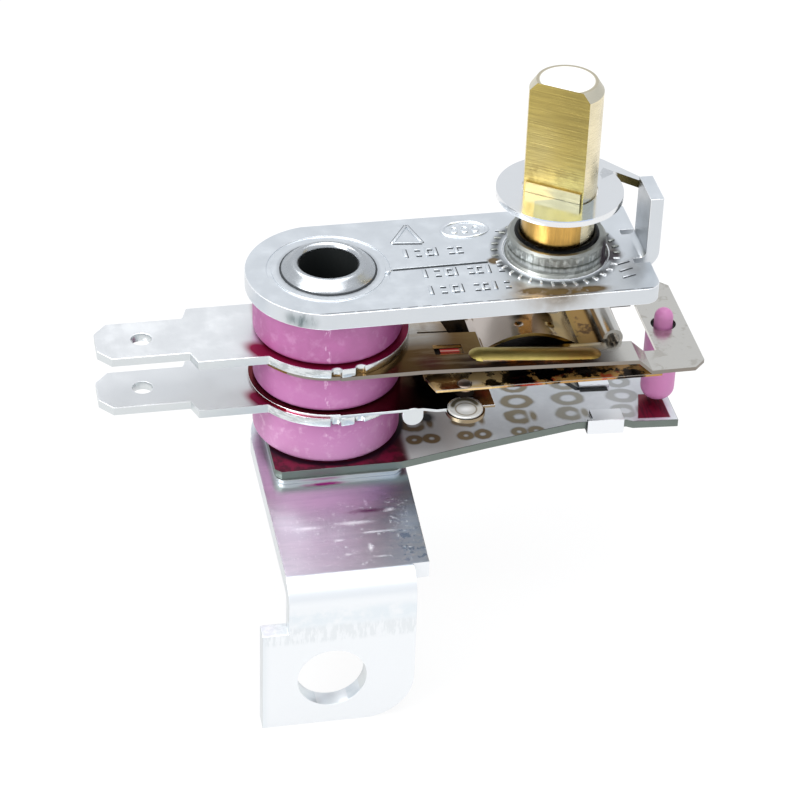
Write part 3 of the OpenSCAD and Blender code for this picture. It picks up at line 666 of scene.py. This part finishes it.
def arm_finish():
    """Spring arm: heat tints along it, pale at the back of its root, painted shade on its front leg and
    a painted red reflection in its slot.
    """
    s = bpy.context.scene.spring_settings
    f = Finish("tinted_arm", s.bronze, 1.0, 0.2)
    f.tint(f.along(0, 9, 15), s.olive, 0.6)
    f.tint(f.times(f.along(1, -3.9, -1.6), f.along(0, 10.5, 7.5)), (0.7, 0.68, 0.64), 0.9)
    # Painted shade in the notch of the front leg
    f.tint(f.times(f.along(1, -4.2, -5.2), f.along(0, 8.5, 11.5)), (0.035, 0.014, 0.012), 0.97)
    f.tint(f.times(f.patches(0.5, 0.5, 0.6, (3, 0, 0)), f.band(0, 14, 21)), (0.2, 0.07, 0.02), 0.5)
    f.tint(f.along(0, 20.5, 24.0), s.straw)
    f.tint(f.times(f.patches(0.45, 0.5, 0.7), f.along(0, 20.0, 15.0)), s.bronze, 0.4)
    # Painted reflection of the pink ring in the slot, with a pale core line
    ring_reflection = f.band(0, 8.5, 10.3, 0.1)
    f.tint(f.times(ring_reflection, f.band(1, -4.2, -3.5, 0.08)), (0.6, 0.01, 0.01), 1.0)
    f.tint(f.times(ring_reflection, f.band(1, -3.98, -3.8, 0.06)), (1.0, 0.5, 0.42), 1.0)
    # Painted shade with the ring's crimson reflection beside the ring
    f.tint(f.spot((7.6, -5.6, -6.5), 1.8, 0.6), (0.14, 0.02, 0.03), 0.85)
    foot = f.times(f.band(1, -6.3, -5.2, 0.2), f.band(0, 11.5, 21.0, 1.0))
    f.tint(f.times(f.patches(0.5, 0.48, 0.56, (7, 0, 0)), foot), (0.02, 0.012, 0.05), 0.8)
    f.tint(f.times(f.patches(0.6, 0.5, 0.6, (1, 5, 0)), foot), (0.3, 0.12, 0.02), 0.7)
    f.tint(f.times(f.streaks((0.2, 1.4, 1), 0.45, 0.65), f.band(0, 6, 13, 1.0)), (0.5, 0.4, 0.28), 0.4)
    f.tint(f.times(f.patches(0.9, 0.55, 0.65), f.band(0, 26.6, 31, 0.5)), (0.36, 0.33, 0.28), 0.4)
    f.grain((0.5, 8, 8), 0.06, rough=0.15)
    return f.material


def rib_finish():
    """Pressed rib of the arm: olive gold, darker towards its end."""
    f = Finish("rib_gold", (0.52, 0.42, 0.14), 1.0, 0.42)
    f.tint(f.along(0, 15.5, 20.5), (0.22, 0.1, 0.02), 0.85)
    f.tint(f.patches(0.5, 0.45, 0.65), (0.3, 0.26, 0.06), 0.5)
    return f.material


def bow_finish():
    """Bow spring: pale over its rise, brown beyond, with painted dark reflections and a painted
    highlight on its curl.
    """
    f = Finish("tinted_bow", (0.34, 0.2, 0.06), 1.0, 0.18)
    f.tint(f.along(0, 19.5, 14.5), (0.66, 0.6, 0.56), 0.85)
    # Painted dark reflections on the bow
    f.tint(f.spot((15.9, -1.0, -5.2), 1.1, 0.4, (1, 1.2, 0.3)), (0.02, 0.012, 0.012), 0.97)
    f.tint(f.spot((18.9, -1.7, -5.2), 0.9, 0.4, (1, 1, 0.3)), (0.02, 0.012, 0.012), 0.9)
    f.tint(f.band(0, 17.6, 20.8, 0.4), (0.27, 0.19, 0.05), 0.6)
    dark = f.times(f.patches(0.55, 0.54, 0.62, (4, 0, 2)), f.along(0, 15, 17))
    f.tint(dark, (0.06, 0.025, 0.01), 0.8)
    # Painted highlight on the curl
    f.tint(f.along(0, 22.2, 22.9), (0.62, 0.62, 0.6), 0.9)
    f.grain((0.5, 8, 8), 0.05, rough=0.1)
    return f.material


def dark_spring_finish():
    """Shaded spring sheet under the arm: near black with amber patches, golden at its free end."""
    f = Finish("shaded_spring", (0.022, 0.016, 0.013), 1.0, 0.2)
    front = f.along(1, -1.6, -2.8)
    amber = f.times(f.patches(0.5, 0.46, 0.53, (2, 0, 0)), front)
    f.stain(amber, (0.46, 0.25, 0.07), 0.9, 0.55)
    f.tint(f.times(f.patches(0.7, 0.56, 0.62, (9, 3, 0)), front), (0.4, 0.03, 0.01), 0.8)
    f.tint(f.times(f.along(0, 15.0, 12.6), f.along(1, -3.6, -4.8)), (0.72, 0.52, 0.24), 0.95)
    f.tint(f.spot((11.2, -6.0, -8.6), 0.75, 0.3, (0.7, 1.2, 1)), (0.95, 0.9, 0.82), 0.9)
    f.grain((0.5, 8, 8), 0.06, rough=0.15)
    return f.material


def leaf_finish():
    """Contact leaf: painted black shade with a painted crimson reflection of the rings beside them,
    brown at its right end.
    """
    f = Finish("shaded_leaf", (0.012, 0.014, 0.015), 1.0, 0.2)
    # Painted crimson reflection of the rings
    f.tint(f.along(0, 7.2, 5.8), (0.14, 0.015, 0.02), 0.95)
    f.tint(f.spot((6.6, -2.6, -9.9), 1.3, 0.6), (0.3, 0.2, 0.12), 0.7)
    f.tint(f.along(0, 10.2, 11.6), (0.2, 0.12, 0.07), 0.9)
    f.grain((0.5, 8, 8), 0.05, rough=0.1)
    return f.material


def spade_finish():
    """Terminal sheet: plain on the spade, deep crimson where its pad mirrors the rings."""
    f = Finish("terminal_sheet", (0.78, 0.79, 0.8), 1.0, 0.3)
    f.tint(f.times(f.ring(RIVET, 6.1, 1.6, 0.1), f.along(0, -6.2, -5.0)), (0.24, 0.012, 0.06), 1.6)
    corner = f.times(f.along(0, -8.2, -7.2), f.along(1, -1.2, -3.0))
    f.tint(f.times(f.ring(RIVET, 6.7, 1.4, 0.1), corner), (0.34, 0.02, 0.08), 1.8)
    f.grain((9, 0.6, 9), 0.06, rough=0.12)
    f.vary("Roughness", f.patches(0.35, 0.4, 0.75), 0.12)
    return f.material


def ceramic_finish():
    """Fired ceramic with a dusty mottle, paler to the bottom, with painted shade darkening it to the
    right and a little to the left.
    """
    s = bpy.context.scene.ceramic_settings
    f = Finish("pink_ceramic", s.pink, 0.0, 0.5)
    f.tint(f.patches(0.6, 0.35, 0.75), tuple(c * 1.25 for c in s.pink), 0.6)
    f.tint(f.along(2, -5.6, -9), (0.4, 0.14, 0.32), 0.7)
    f.tint(f.along(2, -10, -15.5), (0.54, 0.27, 0.46), 0.6)
    # Painted shade on the right and left sides of the rings
    f.tint(f.along(0, 2.8, 6.2), (0.24, 0.02, 0.14), 0.8)
    f.tint(f.along(0, -4.8, -6.2), (0.2, 0.03, 0.13), 0.4)
    f.tint(f.patches(0.9, 0.5, 0.7, (5, 1, 2)), (0.5, 0.26, 0.42), 0.3)
    # Painted deep magenta shade on the upper ring's right side
    f.tint(f.spot((5.9, -1.9, -2.7), 1.6, 0.6), (0.48, 0.03, 0.3), 0.7)
    seam = f.times(f.band(0, -1.3, -0.8, 0.15), f.along(1, -4, -5))
    f.tint(f.times(seam, f.streaks((3.0, 3.0, 1.2), 0.54, 0.62)), (0.7, 0.48, 0.64), 0.45)
    dust = f.times(f.patches(1.4, 0.52, 0.75, (2, 7, 0)), f.along(2, -7.5, -13.0))
    f.tint(dust, (0.7, 0.5, 0.64), 0.35)
    f.grain((2.2, 2.2, 2.2), 0.25)
    return f.material


def pin_finish():
    """Fired ceramic of the small pieces."""
    s = bpy.context.scene.ceramic_settings
    f = Finish("pin_ceramic", (0.5, 0.17, 0.37), 0.0, 0.5)
    f.tint(f.patches(1.1, 0.35, 0.75), (0.5, 0.2, 0.38), 0.5)
    f.grain((2.2, 2.2, 2.2), 0.2)
    return f.material


def bimetal_finish():
    """Pale strip with soft brown ovals and arcs printed in rows, painted reflections of the rings and
    of the pin in deep red, and painted shadows.
    """
    f = Finish("bimetal_strip", (0.74, 0.77, 0.8), 0.45, 0.3)
    f.tint(f.patches(0.8, 0.4, 0.7), (0.86, 0.89, 0.92), 0.5)
    f.tint(f.along(0, 13.0, 9.0), (0.46, 0.43, 0.4), 0.6)
    for x, brown in ((7.6, (0.2, 0.13, 0.06)), (12.0, (0.27, 0.2, 0.11)), (16.6, (0.32, 0.27, 0.18)),
                     (21.1, (0.38, 0.36, 0.3)), (25.9, (0.46, 0.47, 0.46))):
        dark = tuple(c * 0.55 for c in brown)
        wide, tall = (0.66, 0.95, 0), (0.72, 1.05, 0)
        for size, width, colour, amount in ((0.85, 0.42, dark, 1.1), (0.85, 0.3, brown, 2.2)):
            f.tint(f.ring((x + 0.1, 2.6, 0), size, width, 0.5, tall), colour, amount)
            f.tint(f.ring((x, 0.5, 0), size, width, 0.3, wide), colour, amount)
            arc = f.ring((x - 0.3, -1.75, 0), size + 0.05, width + 0.06, 0.5, (0.72, 0.95, 0))
            f.tint(f.times(arc, f.along(0, x + 0.7, x - 0.1)), colour, amount)
            f.tint(f.ring((x - 0.75, -3.9, 0), size * 0.65, width, 0.3, (0.9, 1.0, 0)), colour, amount)
            f.tint(f.ring((x + 0.7, -3.9, 0), size * 0.7, width, 0.3, (0.9, 1.0, 0)), colour, amount)
        f.tint(f.spot((x + 0.95, -1.75, 0), 0.9, 0.4, (1.9, 0.9, 0)), brown, 1.6)
    # Painted crimson reflection of the rings near the rivet
    f.tint(f.along(0, 6.2, 5.4), (0.15, 0.004, 0.025), 1.0)
    f.tint(f.times(f.along(0, 6.2, 5.4), f.patches(0.7, 0.42, 0.56)), (0.035, 0.003, 0.006), 0.85)
    # Painted shade beside the leaf's lug
    f.tint(f.spot((8.5, -0.9, 0), 0.9, 0.3, (1, 0.8, 0)), (0.006, 0.005, 0.004), 1.4)
    # Painted contact shadow round the lower ring
    f.tint(f.ring(RIVET, 6.3, 0.5, 0.1), (0.01, 0.0, 0.004), 1.2)
    # Painted deep red reflection of the pin near the strip's tip
    image = f.times(f.band((1, -0.263, 0), 27.2, 31.0, 0.05), f.band(0, 20, 29.3, 0.05))
    image = f.times(image, f.band(1, -2.95, 0.6, 0.08))
    f.tint(image, (0.2, 0.0, 0.02), 1.0)
    f.tint(f.times(image, f.streaks((3.0, 0.4, 1), 0.5, 0.6)), (0.06, 0.0, 0.01), 0.7)
    # Painted shadow of the far clip
    shade = f.times(f.band(0, 22.4, 24.9, 0.06), f.band(1, 1.3, 1.85, 0.06))
    f.tint(shade, (0.004, 0.006, 0.006), 1.0)
    f.tint(f.times(f.band((0.826, 0.565, 0), 19.1, 19.6, 0.06), f.band(1, 1.6, 3.2, 0.06)),
           (0.004, 0.006, 0.006), 1.0)
    f.grain((0.4, 10, 10), 0.03, rough=0.06)
    return f.material


def seal_finish():
    """Black rubber, slightly glossy."""
    f = Finish("seal_rubber", (0, 0, 0), 0.0, 0.2, Specular_IOR_Level=0.1)
    f.vary("Roughness", f.patches(1.5, 0.4, 0.7), 0.1)
    return f.material


def bead_finish():
    """White fired ceramic."""
    f = Finish("white_ceramic", (0.75, 0.71, 0.64), 0.0, 0.5)
    f.grain((3, 3, 3), 0.2)
    return f.material


def even_finish(name, colour, metallic, rough, shine=0.5):
    """One even tone of painted shade, for places in shade."""
    return Finish(name, colour, metallic, rough, Specular_IOR_Level=shine).material


def plain_metal(name, colour, rough, mottle=0.1):
    """A small metal piece."""
    f = Finish(name, colour, 1.0, rough)
    f.vary("Roughness", f.patches(1.0, 0.4, 0.7), mottle)
    return f.material


FINISHES = {
    "plate": (plate_finish,), "edge": (bright_edge,), "flat": (flat_finish,), "arm": (arm_finish,),
    "rib": (rib_finish,), "bow": (bow_finish,), "dark_spring": (dark_spring_finish,),
    "leaf": (leaf_finish,), "bracket": (bracket_finish,), "flange": (flange_finish,),
    "pad_edge": (pad_edge_finish,), "silver": (contact_finish,), "end": (end_finish,),
    "disc": (disc_finish,), "olive": (lug_shade_finish,), "bush": (bush_finish,),
    "ceramic": (ceramic_finish,), "pin": (pin_finish,), "bimetal": (bimetal_finish,),
    "terminal": (spade_finish,), "seal": (seal_finish,), "bead": (bead_finish,),
    "brass": (brass_finish, "turned_brass", (0.9, 0.8, 0.55), 0.26, (0.6, 0.6, 9), 0.15),
    "shaft": (brass_finish, "worn_brass", (0.78, 0.46, 0.12), 0.22, (2.5, 2.5, 0.3), 0.4),
    "step": (brass_finish, "step_brass", (0.46, 0.38, 0.19), 0.38, (0.3, 0.3, 5), 0.2),
    "rim": (even_finish, "turned_rim", (0.5, 0.47, 0.38), 0.7, 0.4),
    "underside": (even_finish, "plate_underside", (0.42, 0.42, 0.42), 1.0, 0.4),
    "stub": (even_finish, "shaded_stub", (0.006, 0.004, 0.003), 0.0, 0.7, 0.03),
    "dark": (even_finish, "deep_bore", (0.004, 0.006, 0.006), 0.0, 0.6),
    "side": (plain_metal, "tab_side", (0.48, 0.5, 0.52), 0.35),
    "sheet_side": (plain_metal, "sheet_side", (0.7, 0.73, 0.74), 0.3),
    "lobe": (plain_metal, "lobe_edge", (0.32, 0.25, 0.16), 0.3),
    "tail": (plain_metal, "contact_tail", (0.5, 0.4, 0.34), 0.35),
    "strip_edge": (plain_metal, "strip_edge", (0.19, 0.22, 0.2), 0.4),
    "pale_sheet": (plain_metal, "pale_sheet", (0.9, 0.92, 0.93), 0.35),
    "arm_edge": (plain_metal, "arm_edge", (0.27, 0.24, 0.21), 0.3),
    "line": (plain_metal, "dark_line", (0.06, 0.065, 0.07), 0.5),
    "rivet": (plain_metal, "rivet_steel", (0.45, 0.47, 0.49), 0.24),
    "backing": (plain_metal, "backing_steel", (0.5, 0.52, 0.53), 0.3),
    "clip": (plain_metal, "clip_steel", (0.88, 0.9, 0.93), 0.3, 0.03),
}
MADE = {}


def finish(name):
    """A finish by name, made once."""
    if name not in MADE:
        maker, *values = FINISHES[name]
        MADE[name] = maker(*values)
    return MADE[name]


# Pieces

def plate_marks():
    """Plain raised bars in rows: place, size and turn of each, in millimetres and degrees."""
    marks = [(9.1, -0.74, (8.0, 0.3, 0.2), 0.8), (4.85, -1.0, (0.8, 0.26, 0.18), 40),
             (15.1, 3.8, (0.8, 0.16, 0.06), -6)]
    tall, short = (0.24, 1.2, 0.2), (0.48, 0.21, 0.2)
    for y, start, end in ((1.35, 6.6, 11.8), (-1.85, 7.6, 14.1), (-4.35, 7.6, 14.1)):
        x = start
        step = 0
        while x < end:
            if step % 3 != 1:
                marks.append((x, y, tall, 0))
            if step % 3 != 0:
                marks += [(x + 0.34, y + off, short, -3) for off in (0.4, -0.4)]
            x += 0.75 + 0.25 * (step % 2)
            step += 1
    # A plain triangle outline, and three bars at the square end
    corners = [Vector((5.9, 3.1)), Vector((8.3, 2.8)), Vector((7.5, 5.6))]
    for i, corner in enumerate(corners):
        along = corners[(i + 1) % 3] - corner
        middle = corner + along / 2
        marks.append((middle.x, middle.y, (along.length, 0.24, 0.2),
                      math.degrees(math.atan2(along.y, along.x))))
    for y in (-2.5, -3.5, -4.5):
        marks.append((24.0, y, (1.2, 0.18, 0.14), 18))
    return marks


def shadow_lines():
    """Thin dark bars of painted shadow under the long bar, round the rivet's head and beside each mark.
    """
    lines = [bar((7.9, 0.1, 0.05), (9.1, -0.95, 0.01), 0.8), loop(HEAD_R, 0.1, (0, 0, 0.02))]
    for x, y, size, turn in plate_marks()[2:]:
        upright = size[0] < size[1]
        away = Vector((size[0] / 2 + 0.05, 0) if upright else (0, -size[1] / 2 - 0.04))
        away.rotate(Matrix.Rotation(math.radians(turn), 2))
        thin = (0.1, size[1], 0.04) if upright else (size[0], 0.08, 0.04)
        lines.append(bar(thin, (x + away.x, y + away.y, 0.01), turn))
    return lines


class MakePlate(bpy.types.Operator):
    """Top plate with rounded edges and satin nickel finish."""
    bl_idname = "control.plate"
    bl_label = "Top plate"

    def execute(self, context):
        edge = context.scene.plate_settings.edge
        plate = dress("top_plate", "plate_sheet", [finish("plate"), finish("edge")], edge)
        paint(plate, finish("plate"),
              lambda c, n: 4.2 < math.hypot(c.x, c.y) < 5.2 and -0.3 < c.z < -0.005 and n.z > 0.1)
        # Painted shade on the plate's underside
        paint(plate, finish("underside"), lambda c, n: n.z < -0.9)
        # Painted shade on the upturned tab's left face
        paint(plate, finish("side"), lambda c, n: n.x < -0.8 and c.z > 0.3)
        stakes = [bar((0.6, 0.25, 0.16), place, turn + 16)
                  for place, turn in round_spindle(STAKES, STAKE_R, 0.02)]
        # The front stake marks take the bright edge finish as painted highlight, the back ones the
        # bush's dull finish as painted shade
        half = STAKES // 2 + 1
        trim(stakes[half:-1], "front_stakes", "top_plate", finish("edge"), 0.06 * MM)
        trim(stakes[:half] + stakes[-1:], "back_stakes", "top_plate", finish("bush"), 0.06 * MM)
        marks = [bar(size, (x, y, 0), turn) for x, y, size, turn in plate_marks()]
        marks.append(loop(1.0, 0.11, (12.2, 4.35, 0), (1.9, 1.2, 1)))
        for x in (11.3, 12.2, 13.1):
            marks.append(loop(0.32, 0.09, (x, 4.35, 0), (0.9, 1.3, 1)))
        trim(marks, "raised_marks", "top_plate", finish("plate"), 0.05 * MM)
        # Painted shadows beside the raised marks, under the long bar and round the rivet's head
        trim(shadow_lines(), "shadow_lines", "top_plate", finish("line"))
        return {"FINISHED"}


class MakeRivet(bpy.types.Operator):
    """Hollow rivet and its rolled head."""
    bl_idname = "control.rivet"
    bl_label = "Hollow rivet"

    def execute(self, context):
        rivet = dress("eyelet", "hollow_rivet", [finish("rivet")], 0.0)
        # Painted shade inside the bore
        paint(rivet, finish("dark"), lambda c, n: math.hypot(c.x, c.y) < 2.45 and -17 < c.z < 0.42)
        return {"FINISHED"}


class MakeRings(bpy.types.Operator):
    """Three ceramic rings of the stack, the push pin and the bead."""
    bl_idname = "control.rings"
    bl_label = "Ceramic pieces"

    def execute(self, context):
        edge = context.scene.ceramic_settings.edge
        for node in ("upper_ring", "middle_ring", "lower_ring"):
            dress(node, node.replace("_ring", "_ceramic_ring"), [finish("ceramic")], edge, segments=3)
        pin = dress("push_pin", "ceramic_push_pin", [finish("pin")], 0.06 * MM)
        # Painted shade in the pin's hole
        paint(pin, finish("dark"), lambda c, n: n.z > 0.5 and -9 < c.z < -7.9)
        bead = dress("thrust_bead", "ceramic_bead", [finish("bead")], 0.04 * MM)
        # A hair slimmer, so that its facets stay clear of the socket's while the spindle turns
        select_only(bead)
        bpy.ops.object.mode_set(mode="EDIT")
        bpy.ops.mesh.select_all(action="SELECT")
        bpy.ops.transform.resize(value=(0.985, 0.985, 1), center_override=(SPINDLE_X * MM, 0, 0))
        bpy.ops.object.mode_set(mode="OBJECT")
        return {"FINISHED"}


class MakeTerminals(bpy.types.Operator):
    """Two spade terminals."""
    bl_idname = "control.terminals"
    bl_label = "Spade terminals"

    def execute(self, context):
        for node in ("upper_terminal", "lower_terminal"):
            spade = dress(node, node.replace("terminal", "spade"),
                          [finish("terminal"), finish("edge")], 0.1 * MM)
            paint(spade, finish("pad_edge"), lambda c, n: abs(n.z) < 0.4 and c.x > -5.5)
            paint(spade, finish("sheet_side"), lambda c, n: abs(n.z) < 0.4 and c.x <= -5.5)
        return {"FINISHED"}


class MakeSprings(bpy.types.Operator):
    """Spring arm, bow spring, contact blade and contact leaf."""
    bl_idname = "control.springs"
    bl_label = "Spring sheets"

    def execute(self, context):
        rows = (("upper_arm", "spring_arm", "arm", "arm_edge"),
                ("bow_spring", "bow_sheet", "bow", "arm_edge"),
                ("contact_blade", "blade_sheet", "dark_spring", "arm_edge"),
                ("contact_leaf", "leaf_sheet", "leaf", "edge"))
        arm, bow, _, leaf = [dress(node, name, [finish(face), finish(edge)], SHEET_EDGE, segments=1)
                             for node, name, face, edge in rows]
        paint(arm, finish("rib"), lambda c, n: 11 < c.x < 22.6 and 3.95 < abs(c.y) < 6.6 and n.z > 0.2
              and c.z > -6.12 - 0.0447 * (c.x - 7))
        paint(arm, finish("arm_edge"), lambda c, n: abs(n.z) < 0.3 and n.y < -0.5 and c.y < -5)
        # Painted shade on the bow's underside
        paint(bow, finish("dark"), lambda c, n: n.z < -0.3 and c.x < 21)
        paint(leaf, finish("pale_sheet"), lambda c, n: c.y < -5 and n.y < -0.5 and c.x < 8.8)
        paint(leaf, finish("lobe"), lambda c, n: c.z < -10.2 and c.x >= 8.8 and abs(n.z) < 0.9)
        paint(leaf, finish("sheet_side"), lambda c, n: c.z < -10.2 and c.x < 7.2)
        return {"FINISHED"}


class MakeContacts(bpy.types.Operator):
    """Silver contact pair."""
    bl_idname = "control.contacts"
    bl_label = "Contacts"

    def execute(self, context):
        moving = dress("moving_contact", "moving_silver", [finish("silver")], 0.06 * MM)
        paint(moving, finish("stub"), lambda c, n: n.z < 0.5)
        paint(moving, finish("tail"), lambda c, n: n.z >= 0.5)
        dress("fixed_contact", "fixed_silver", [finish("silver")], 0.06 * MM)
        return {"FINISHED"}


class MakeSpindle(bpy.types.Operator):
    """Brass spindle, its disc, bush and seal."""
    bl_idname = "control.spindle"
    bl_label = "Spindle and bush"

    def execute(self, context):
        shaft = dress("spindle", "brass_spindle", [finish("brass")], 0.08 * MM)
        out = Vector((math.cos(math.radians(FLAT_TURN)), math.sin(math.radians(FLAT_TURN)), 0))
        paint(shaft, finish("flat"), lambda c, n: n.dot(out) > 0.98 and c.z > 5.5)
        paint(shaft, finish("shaft"), lambda c, n: c.z < 5.5)
        # Painted highlight on the end face
        paint(shaft, finish("end"), lambda c, n: n.z > 0.9 and c.z > 15.5)
        # Painted shade on the chamfer at the top
        paint(shaft, finish("rim"), lambda c, n: 0.15 < n.z < 0.9 and c.z > 15.2)
        place = Vector((SPINDLE_X, 0, 6.5)) + out * 1.6
        step = bar((0.3, 4.75, 0.93), place, FLAT_TURN)
        trim([step], "flat_step", "spindle", finish("step"), 0.03 * MM)
        disc = dress("stop_disc", "limit_disc", [finish("disc")], 0.1 * MM)
        # Painted shade on the front edge of the disc's tongue
        paint(disc, finish("olive"), lambda c, n: c.x > 24.0 and n.y < -0.3 and n.z < 0.5)
        dress("spindle_bush", "staked_bush", [finish("bush")], 0.07 * MM)
        dents = [bar((0.12, 0.3, 1.1 + 0.2 * (i % 3)), place, turn)
                 for i, (place, turn) in enumerate(round_spindle(DENTS, DENT_R, 1.05))]
        trim(dents, "bush_dents", "spindle_bush", finish("bush"), 0.05 * MM)
        # A bright wire ring standing in for the highlight on the fillet at the collar's foot
        foot = loop(4.4, 0.06, (SPINDLE_X, 0, 0.05))
        trim([foot], "bush_foot_highlight", "spindle_bush", finish("edge"))
        dress("seal_ring", "rubber_seal", [finish("seal")], 0.0)
        trim([loop(3.27, 0.24, (SPINDLE_X, 0, 1.95))], "seal_lip", "seal_ring", finish("seal"))
        return {"FINISHED"}


class MakeBimetal(bpy.types.Operator):
    """Bimetal strip, its clip and backing plate."""
    bl_idname = "control.bimetal"
    bl_label = "Bimetal"

    def execute(self, context):
        faces = [finish("bimetal"), finish("strip_edge")]
        strip = dress("bimetal_strip", "bimetal_sheet", faces, 0.05 * MM)
        paint(strip, finish("strip_edge"), lambda c, n: abs(n.z) < 0.5)
        clip = dress("bimetal_clip", "strip_clip", [finish("clip")], 0.06 * MM)
        # Painted shade on the clip's left end faces
        paint(clip, finish("dark"), lambda c, n: n.x < -0.8)
        dress("backing_plate", "backing_sheet", [finish("backing")], 0.05 * MM)
        return {"FINISHED"}


class MakeBracket(bpy.types.Operator):
    """Bent zinc-plated bracket."""
    bl_idname = "control.bracket"
    bl_label = "Mounting bracket"

    def execute(self, context):
        faces = [finish("bracket"), finish("edge")]
        bracket = dress("mounting_bracket", "bent_bracket", faces, 0.14 * MM)
        # The flange's paler tone is painted light on the same sheet
        paint(bracket, finish("flange"), lambda c, n: n.y < -0.35 and c.y < -18)
        paint(bracket, finish("sheet_side"), lambda c, n: n.x < -0.8)
        paint(bracket, finish("flange"), lambda c, n: n.z > 0.9 and c.z < -19)
        return {"FINISHED"}


# Stage

CAMERA_PLACE = Vector((-0.03509, -0.19427, 0.12635))
CAMERA_ANGLES = (-12.036, 35.181, 2.044)
LENS = 129.85


def aim(angles):
    """The camera's turn from its azimuth, elevation and roll in degrees."""
    a, e, r = (math.radians(v) for v in angles)
    back = Vector((math.sin(a) * math.cos(e), -math.cos(a) * math.cos(e), math.sin(e)))
    right = Vector((math.cos(a), math.sin(a), 0))
    up = back.cross(right)
    across = right * math.cos(r) + up * math.sin(r)
    upward = up * math.cos(r) - right * math.sin(r)
    return Matrix((across, upward, back)).transposed()


def area_lamp(name, place, target, size, power):
    """A soft square lamp turned to a target."""
    data = bpy.data.lights.new(name, "AREA")
    data.shape = "SQUARE"
    data.size = size
    data.energy = power
    lamp = bpy.data.objects.new(name, data)
    bpy.context.scene.collection.objects.link(lamp)
    lamp.location = place
    lamp.rotation_euler = (Vector(target) - Vector(place)).to_track_quat("-Z", "Y").to_euler()
    return lamp


def seen_rays(tree):
    """1 for camera, glossy and transmission rays."""
    path = tree.nodes.new("ShaderNodeLightPath").outputs
    seen = sums(tree, "MAXIMUM", path["Is Camera Ray"], path["Is Glossy Ray"])
    return sums(tree, "MAXIMUM", seen, path["Is Transmission Ray"])


def white_floor():
    """A floor that looks white and keeps the object's shadow."""
    deselect()
    bpy.ops.mesh.primitive_plane_add(size=2.4, location=(0, 0, CAD_BOX[0][2]))
    floor = bpy.context.object
    floor.name = "floor"
    f = Finish("white_floor", (0.86, 0.86, 0.86), 0.0, 0.9, Specular_IOR_Level=0.0)
    glow = put(f.tree, "ShaderNodeEmission", Color=(1, 1, 1, 1), Strength=1.0)
    share = sums(f.tree, "MULTIPLY", seen_rays(f.tree), 0.9)
    mix = put(f.tree, "ShaderNodeMixShader", i0=share, i1=f.shader.outputs[0], i2=glow.outputs[0])
    f.tree.links.new(mix.outputs[0], f.tree.nodes["Material Output"].inputs["Surface"])
    floor.data.materials.append(f.material)
    return floor


class MakeStage(bpy.types.Operator):
    """White floor, studio light and the camera."""
    bl_idname = "control.stage"
    bl_label = "Studio"

    def execute(self, context):
        scene = context.scene
        scene.view_settings.view_transform = "Standard"
        scene.world = bpy.data.worlds.new("studio")
        scene.world.use_nodes = True
        sky = scene.world.node_tree.nodes["Background"].inputs
        sky["Color"].default_value = (0.93, 0.96, 1.0, 1)
        sky["Strength"].default_value = 0.9
        floor = white_floor()
        area_lamp("overhead_softbox", (-0.05, 0.02, 0.4), (0.01, 0, -0.01), 0.45, 2.2)
        area_lamp("left_softbox", (-0.35, -0.2, 0.22), (0.01, 0, -0.01), 0.25, 1.2)
        data = bpy.data.cameras.new("camera")
        data.sensor_width = 36
        data.lens = LENS
        data.clip_start = 0.01
        data.clip_end = 10
        camera = bpy.data.objects.new("camera", data)
        scene.collection.objects.link(camera)
        camera.matrix_world = Matrix.Translation(CAMERA_PLACE) @ aim(CAMERA_ANGLES).to_4x4()
        scene.camera = camera
        return {"FINISHED"}


class ControlPanel(bpy.types.Panel):
    """Lists the control switch's pieces."""
    bl_idname = "VIEW3D_PT_control"
    bl_label = "Control switch"
    bl_space_type = "VIEW_3D"
    bl_region_type = "UI"
    bl_category = "Control"

    def draw(self, context):
        for maker in MAKERS:
            self.layout.operator(maker.bl_idname)
        for settings, _ in SETTINGS:
            group = getattr(context.scene, settings)
            for key in group.__annotations__:
                self.layout.prop(group, key)


MAKERS = (MakePlate, MakeRivet, MakeRings, MakeTerminals, MakeSprings, MakeContacts, MakeSpindle,
          MakeBimetal, MakeBracket, MakeStage)
SETTINGS = (("plate_settings", PlateSettings), ("ceramic_settings", CeramicSettings),
            ("spindle_settings", SpindleSettings), ("spring_settings", SpringSettings))


def register():
    """Registers the settings, the makers and the panel."""
    for name, kind in SETTINGS:
        bpy.utils.register_class(kind)
        setattr(bpy.types.Scene, name, bpy.props.PointerProperty(type=kind))
    for maker in MAKERS:
        bpy.utils.register_class(maker)
    bpy.utils.register_class(ControlPanel)


def unregister():
    """Takes everything off again."""
    bpy.utils.unregister_class(ControlPanel)
    for maker in reversed(MAKERS):
        bpy.utils.unregister_class(maker)
    for name, kind in reversed(SETTINGS):
        delattr(bpy.types.Scene, name)
        bpy.utils.unregister_class(kind)


def main():
    """Makes every piece, then the stage."""
    register()
    for maker in MAKERS:
        group, name = maker.bl_idname.split(".")
        getattr(getattr(bpy.ops, group), name)()


if __name__ == "__main__":
    main()
